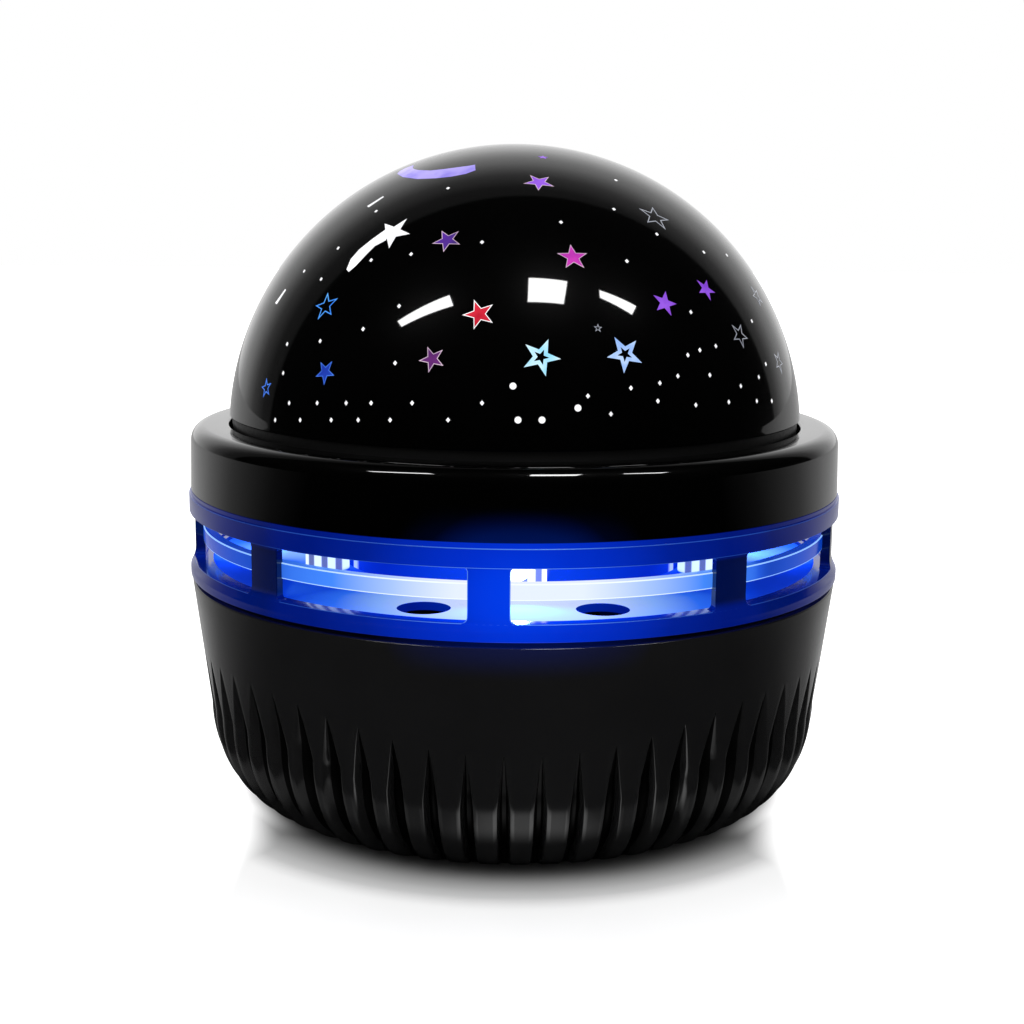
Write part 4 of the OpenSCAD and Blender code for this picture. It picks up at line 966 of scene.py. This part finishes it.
def outer_row(k, a):
    """(r, z, outward normal) of one row of the fluted wall at an angle, from the split down to the foot."""
    if k <= FLUTE_ROWS:
        top = split_z(a)
        z = top - (top - SHOULDER_Z) * k / FLUTE_ROWS
        return wall_r(z), z, Vector((1, -0.1245)).normalized()
    turn = pi / 2 * (k - FLUTE_ROWS) / FLUTE_CORNER_ROWS
    r = FLAT_R + CORNER_W * cos(turn)
    z = SHOULDER_Z - CORNER_H * sin(turn)
    return r, z, Vector((cos(turn) / CORNER_W, -sin(turn) / CORNER_H)).normalized()


def flute_columns(r, half, wave):
    """(angle from the flute's axis, share of the depth, slot) across one pitch.

    The lands are flat with a narrow groove at the front and back and round like fingers at the sides.
    """
    pitch = pi / FLUTE_COUNT
    half = min(half, 0.88 * pitch * r)
    line = []
    for t in FLUTE_STATIONS:
        flat = smooth((1.05 - t) / 0.65)
        finger = (1 - t / 1.05) ** 2
        # Slot 1 takes the painted shade of the groove bottoms, slot 2 the painted highlight of the land
        # edges.
        slot = 1 if t < 0.6 - 0.25 * wave else 2
        line.append((t * half / r, flat + (finger - flat) * wave, slot))
    edge = line[-1][0]
    for k in range(1, 4):
        line.append((edge + (pitch - edge) * k / 3, 0.0, 0))
    mirrored = [(-line[k][0], line[k][1], line[k - 1][2]) for k in range(len(line) - 1, 0, -1)]
    return mirrored + line[:-1]


def fluted_row(k):
    """One row of points round the fluted wall, with the slot of each face."""
    loop = []
    slots = []
    for i in range(FLUTE_COUNT):
        axis = radians(270 - FLUTE_TURN + 360 * i / FLUTE_COUNT)
        r, z, _ = outer_row(k, axis)
        half, fall = flute_size(axis, z)
        for angle, share, slot in flute_columns(r, half, flute_wave(axis)):
            a = axis + angle
            r, z, normal = outer_row(k, a)
            near = r - normal.x * fall * share
            loop.append(polar(near, a, z - normal.y * fall * share))
            slots.append(slot)
    return loop, slots


def build_bowl_foot():
    """The lower bowl with its pleat-like flutes."""
    rows = [fluted_row(k)[0] for k in range(FLUTE_ROWS + FLUTE_CORNER_ROWS + 1)]
    inside = [
        (COVER_HOLE_R, BASE_Z0), (COVER_HOLE_R, COVER_TOP_Z), (COVER_LIP_R, COVER_TOP_Z),
        (COVER_LIP_R, FOOT_FLOOR_Z), (FLAT_R, FOOT_FLOOR_Z),
    ]
    for k in range(1, 9):
        a = pi / 2 * (1 - k / 8)
        r = FLAT_R + (CORNER_W - FOOT_WALL) * cos(a)
        inside.append((r, SHOULDER_Z - (SHOULDER_Z - FOOT_FLOOR_Z) * sin(a)))
    angles = [atan2(p[1], p[0]) for p in rows[0]]
    for r, z in inside:
        rows.append([polar(r, a, z) for a in angles])
    rows.append([polar(wall_r(split_z(a)) - FOOT_WALL, a, split_z(a)) for a in angles])
    shape = Shape()
    shape.tube(rows, fluted_row(0)[1], wrap=True)
    foot = shape.build("bowl_foot", "body", [BOWL_BLACK, BOWL_GROOVE_SHADE, BOWL_EDGE_HIGHLIGHT], sharp=50)
    return foot


def rounded_rect(w, h, r):
    """Loop of (x, z) round a rectangle about the origin."""
    points = []
    steps = 5
    for q, (sx, sz) in enumerate([(1, 1), (-1, 1), (-1, -1), (1, -1)]):
        for k in range(steps + 1):
            a = pi / 2 * (q + k / steps)
            points.append((sx * (w / 2 - r) + r * cos(a), sz * (h / 2 - r) + r * sin(a)))
    return points


def along_y(outline, x0, z0, levels):
    return [[(x0 + x, y, z0 + z) for x, z in outline] for y in levels]


def cutter(name, outline, x0, z0):
    shape = Shape()
    shape.tube(along_y(outline, x0, z0, (50.0, 75.0)), caps=True)
    return shape.build(name, "body", [BOWL_BLACK])


def button_x(i):
    return (i - 1.5) * BUTTON_PITCH


def circle(r, count=40):
    return [(r * cos(a), r * sin(a)) for a in turns(count)]


def build_bowl_wall():
    """The upper bowl with the holes of the buttons and the charging recess."""
    profile = rounded([
        (wall_r(40.0), 40.0), (BASE_TOP_R, BASE_TOP_Z, 0.35, 0), (NECK_R, BASE_TOP_Z),
        (NECK_R, NECK_Z), (NECK_IN_R, NECK_Z), (NECK_IN_R, 41.5), (wall_r(39.5) - BASE_WALL, 39.5),
    ])
    loops = []
    for k in range(360):
        a = radians(k)
        low = split_z(a)
        line = [(wall_r(low), low)] + [(r, z) for r, z, _ in profile] + [(wall_r(low) - BASE_WALL, low)]
        loops.append([polar(r, a, z) for r, z in line])
    shape = Shape()
    shape.tube(loops, wrap=True)
    wall = shape.build("bowl_wall", "body", [BOWL_BLACK])
    cutters = [cutter("cut_port", rounded_rect(RECESS_W, RECESS_H, 1.0), 0.0, RECESS_Z)]
    for i in range(4):
        cutters.append(cutter("cut_button_%d" % i, circle(BUTTON_R + 0.15), button_x(i), BUTTON_Z))
    cut_away(wall, cutters)
    return wall


def build_port_pocket():
    """The walls and floor of the charging recess, open round the socket."""
    shape = Shape()
    inner = rounded_rect(RECESS_W - 0.04, RECESS_H - 0.04, 1.0)
    outer = rounded_rect(RECESS_W + 2.6, RECESS_H + 2.6, 1.6)
    socket = rounded_rect(9.3, 3.7, 1.5)
    loops = [
        (inner, 61.3), (inner, RECESS_Y), (socket, RECESS_Y), (socket, RECESS_Y - 1.4),
        (outer, RECESS_Y - 1.4), (outer, 59.6),
    ]
    shape.tube([along_y(line, 0.0, RECESS_Z, (y,))[0] for line, y in loops], wrap=True)
    pocket = shape.build("port_pocket", "body", [BOWL_BLACK])
    return pocket


def build_button(i, node, body, material):
    """A button cap whose face follows the bowl's lean, with a soft edge and a shallow dish."""
    shape = Shape()
    loops = []
    x0 = button_x(i)
    rings = [(BUTTON_R, -6.0), (BUTTON_R, -0.55), (BUTTON_R - 0.08, -0.3), (BUTTON_R - 0.25, -0.1),
             (BUTTON_R - 0.55, 0.0), (2.3, -0.06), (1.4, -0.14), (0.6, -0.18), (0.08, -0.19)]
    for r, drop in rings:
        loop = []
        for x, z in circle(r, 48):
            face = wall_r(BUTTON_Z + z) + BUTTON_PROUD - 0.02
            y = sqrt(face ** 2 - (x0 + x) ** 2) + drop
            loop.append((x0 + x, y if drop > -5 else 57.0, BUTTON_Z + z))
        loops.append(loop)
    shape.tube(loops, caps=True)
    cap = shape.build("cap_" + node, body, [material], sharp=60)
    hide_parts(node)


# ---------------- CAD nodes and their finishes
def node_looks(steel):
    """The material of each CAD node, or of each set of numbered nodes."""
    shell = BOWL_BLACK
    spring = plain("spring_nickel", (0.62, 0.6, 0.56), 0.28, 2500.0, metal=1.0)
    green = plain("board_green", (0.01, 0.12, 0.035), 0.4, 2200.0, 0.12, spread=0.25)
    looks = {
        "bottom_cover": shell, "battery_door": shell, "deck": LIT_WHITE, "motor_housing": DRUM_PAINTED_BLUE,
        "turntable": plain("table_satin_black", (0.004, 0.004, 0.0042), 0.45, 5000.0, 0.05),
        "foot": plain("rubber", (0.018,) * 3, 0.75, 1800.0, 0.4),
        "cell": plain("cell_sleeve", (0.08, 0.18, 0.09), 0.3, 900.0, 0.05, spread=0.2),
        "contact_plates": spring, "contact_springs": spring, "main_board": green, "button_board": green,
        "led_board": green, "side_board": LIT_WHITE, "usb_socket": steel, "motor_shaft": steel,
        "reduction_pin": steel, "retaining_ring": spring,
        "side_led": make_lens("lens_side", (0.75, 0.88, 1.0), 3.0),
        "thrust_washer": plain("washer", (0.8, 0.8, 0.74), 0.35, 1500.0, 0.05),
        "motor": plain("motor_can", (0.5,) * 3, 0.35, 1400.0, 0.12, 1.0),
        "tact_switches": plain("switch", (0.02,) * 3, 0.5),
        "led_lead": plain("lead_grey", (0.35,) * 3, 0.45),
        "motor_lead": plain("lead_red", (0.45, 0.03, 0.03), 0.45),
        "panel_ribbon": plain("ribbon", (0.4, 0.4, 0.42), 0.5),
    }
    gears = {"turntable_gear": "gear_acetal", "motor_pinion": "gear_pinion", "reduction_gear": "gear_wheel"}
    for name, look in gears.items():
        looks[name] = plain(look, (0.72, 0.71, 0.66), 0.4, 1800.0)
    tints = {
        "red": (0.8, 0.03, 0.02), "green": (0.05, 0.7, 0.1), "blue": (0.03, 0.1, 0.85),
        "white": (0.85, 0.85, 0.8),
    }
    for name, tint in tints.items():
        looks["led_" + name] = make_lens("lens_" + name, tint, 0.3)
    return looks


def dress_nodes():
    steel = plain("screw_steel", (0.55, 0.55, 0.56), 0.3, 2500.0, 0.1, metal=1.0)
    looks = node_looks(steel)
    for name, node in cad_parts.items():
        material = looks.get(name) or looks.get(name.rstrip("0123456789_"))
        if material is None and name.endswith("screws"):
            material = steel
        if material is None:
            continue
        for part in node.material_slots:
            part.material = material


# ---------------- stage
def add_camera():
    camera = add_object("camera", bpy.data.cameras.new("camera"))
    camera.data.lens = FOCAL_LENGTH
    camera.data.sensor_width = SENSOR_WIDTH
    camera.data.clip_start = 0.01
    camera.matrix_world = Matrix.Translation(EYE * MM) @ eye_turn().to_4x4()
    bpy.context.scene.camera = camera


def add_world():
    """A white backdrop behind the object, a dark room in front, an even level on matt surfaces."""
    world = bpy.data.worlds.new("studio")
    bpy.context.scene.world = world
    world.use_nodes = True
    tree = world.node_tree
    shader = tree.nodes["Background"]
    path = new_node(tree, "LightPath", {}).outputs
    place = new_node(tree, "TexCoord", {}).outputs["Generated"]
    fall = ramp(tree, split_xyz(tree, place)[1], greys([
        (0.438, 0.06), (0.515, 0.13), (0.581, 0.18), (0.649, 0.33), (0.731, 0.53), (0.799, 0.6),
        (0.906, 0.85),
    ]))
    cone = new_node(tree, "VectorMath", {0: place, 1: BACKDROP_WAY})
    cone.operation = "DOT_PRODUCT"
    inside = map_range(tree, cone.outputs["Value"], 0.43, 0.46, 0.0, 1.15)
    back = calc(tree, "MULTIPLY", fall, inside)
    level = calc(tree, "MULTIPLY", path["Is Glossy Ray"], calc(tree, "SUBTRACT", back, 0.8))
    level = calc(tree, "ADD", level, 0.8)
    white = calc(tree, "MAXIMUM", path["Is Camera Ray"], path["Is Transmission Ray"])
    feed(shader, {"Color": (1, 1, 1, 1), "Strength": calc(tree, "MAXIMUM", level, white)})


def add_sheet(name, corners, material):
    """A flat piece of the stage. Corners in metres."""
    mesh = bpy.data.meshes.new(name)
    mesh.from_pydata(corners, [], [(0, 1, 2, 3)])
    mesh.materials.append(material)
    sheet = add_object(name, mesh)
    return sheet


def floor_masks(tree):
    """How white the floor is to the camera, which fades near the object as a painted shadow edge; how bright
    in mirrors, kept dark close round the object as painted shadow; and a painted shadow that darkens its
    colour under the object.
    """
    x, y, _ = split_xyz(tree, object_point(tree))
    reach = root_of_squares(tree, x, y)
    # Painted shadow edge: the camera's white fades towards the object in these steps.
    away = ramp(tree, map_range(tree, reach, 0.05, 0.15), greys([
        (0.1, 0), (0.133, 0.1), (0.16, 0.3), (0.183, 0.43), (0.4, 0.5), (0.9, 1),
    ]))
    side = soft_range(tree, y, -0.036, -0.02)
    wide = soft_range(tree, calc(tree, "ABSOLUTE", x), 0.043, 0.054)
    clear = soft_range(tree, reach, 0.05, 0.057)
    open_floor = calc(tree, "MULTIPLY", calc(tree, "MAXIMUM", side, wide), clear)
    away = calc(tree, "MAXIMUM", away, open_floor)
    # Painted shadow in mirrors: the floor shows dark close round the object.
    seen = soft_range(tree, reach, 0.06, 0.068)
    near = soft_range(tree, reach, 0.074, 0.08, 1.0, 0.0)
    off = calc(tree, "ABSOLUTE", calc(tree, "SUBTRACT", x, 0.004))
    near = calc(tree, "MULTIPLY", near, soft_range(tree, off, 0.006, 0.022, 1.0, 0.15))
    turn = map_range(tree, calc(tree, "DIVIDE", y, reach), -0.5, 1.0)
    behind = ramp(tree, turn, greys([
        (0.1, 0), (0.27, 0.06), (0.39, 0.15), (0.53, 0.25), (0.64, 0.4), (0.75, 0.5),
    ]))
    shown = calc(tree, "MULTIPLY", seen, calc(tree, "MAXIMUM", near, behind))
    return away, shown, soft_range(tree, reach, 0.049, 0.062, 0.12, 1.0)


def add_floor():
    """A pale floor that is white away from the object and keeps the shadow under it, deepened by painted
    shadow.
    """
    material, tree, shader = surfaced("floor_white", (0.78,) * 3, (0.82,) * 3, 400.0, (0.35, 0.45), 0.01, 1.2)
    away, shown, under = floor_masks(tree)
    # Painted shadow: the floor's colour darkens under the object.
    blend_into(tree, shader, "Base Color", "MULTIPLY", under)
    path = new_node(tree, "LightPath", {}).outputs
    white = emission(tree, calc(tree, "MULTIPLY", away, path["Is Camera Ray"]))
    total = new_node(tree, "AddShader", {0: shader.outputs[0], 1: white}).outputs[0]
    surface = new_node(tree, "MixShader", {0: path["Is Glossy Ray"], 1: total, 2: emission(tree, shown)})
    feed(tree.nodes["Material Output"], {"Surface": surface.outputs[0]})
    half = FLOOR_HALF
    add_sheet("floor", [(-half, -half, 0), (half, -half, 0), (half, half, 0), (-half, half, 0)], material)


SOFTBOX_LEVEL = 25.0
SOFTBOXES = {
    "softbox_square": [(52, -306, 753), (209, -285, 731), (204, -397, 676), (51, -421, 693)],
    "softbox_right": [(336, -262, 686), (474, -220, 605), (467, -271, 588), (343, -296, 668)],
    "softbox_left": [(-275, -329, 686), (-264, -384, 660), (-470, -333, 550), (-480, -298, 562)],
}


def add_panel(name, corners):
    """A softbox that only mirror-like surfaces show. Corners in mm."""
    material, tree, shader = new_material(name)
    tree.nodes.remove(shader)
    feed(tree.nodes["Material Output"], {"Surface": emission(tree, SOFTBOX_LEVEL)})
    panel = add_sheet(name, [Vector(c) * MM for c in corners], material)
    panel.visible_camera = panel.visible_diffuse = False
    panel.visible_shadow = panel.visible_transmission = False


def add_lamp(light, place, toward):
    """A light at a place in metres that shines along a direction."""
    lamp = add_object(light.name, light)
    lamp.location = place
    lamp.rotation_euler = toward.to_track_quat("-Z", "Y").to_euler()
    return lamp


def add_lamps():
    key = bpy.data.lights.new("key", "AREA")
    key.energy = 1.2
    key.size = 0.5
    place = Vector(KEY_PLACE)
    add_lamp(key, place, Vector((0, 0, 0.06)) - place).visible_glossy = False
    for k in range(4):
        a = radians(270 + SIDE_LED_TURN + 90 * k)
        out = Vector(polar(1.0, a, 0.0))
        spot = bpy.data.lights.new("led_light_%d" % k, "SPOT")
        spot.energy = 0.08 if k == 0 else 0.03
        spot.color = (0.12, 0.34, 1.0)
        spot.spot_size = radians(172)
        spot.spot_blend = 0.5
        spot.shadow_soft_size = 0.002
        add_lamp(spot, out * SIDE_LED_R * MM + Vector((0, 0, SIDE_LED_Z * MM)), out)


def build_stage():
    add_camera()
    add_world()
    add_floor()
    for name, corners in SOFTBOXES.items():
        add_panel(name, corners)
    add_lamps()
    bpy.context.scene.view_settings.view_transform = "Standard"


def build_object():
    build_dome()
    build_sky()
    build_rim()
    build_band()
    foot = build_bowl_foot()
    build_bowl_wall()
    build_port_pocket()
    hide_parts("base_bowl")
    gloss = plain("button_gloss_black", (0.006, 0.006, 0.007), 0.15, 2500.0, 0.02)
    names = ["light", "colour", "turn", "timer"]
    for i, name in enumerate(names):
        build_button(i, "button_" + name, name + "_button", gloss)
    dress_nodes()


build_stage()
build_object()
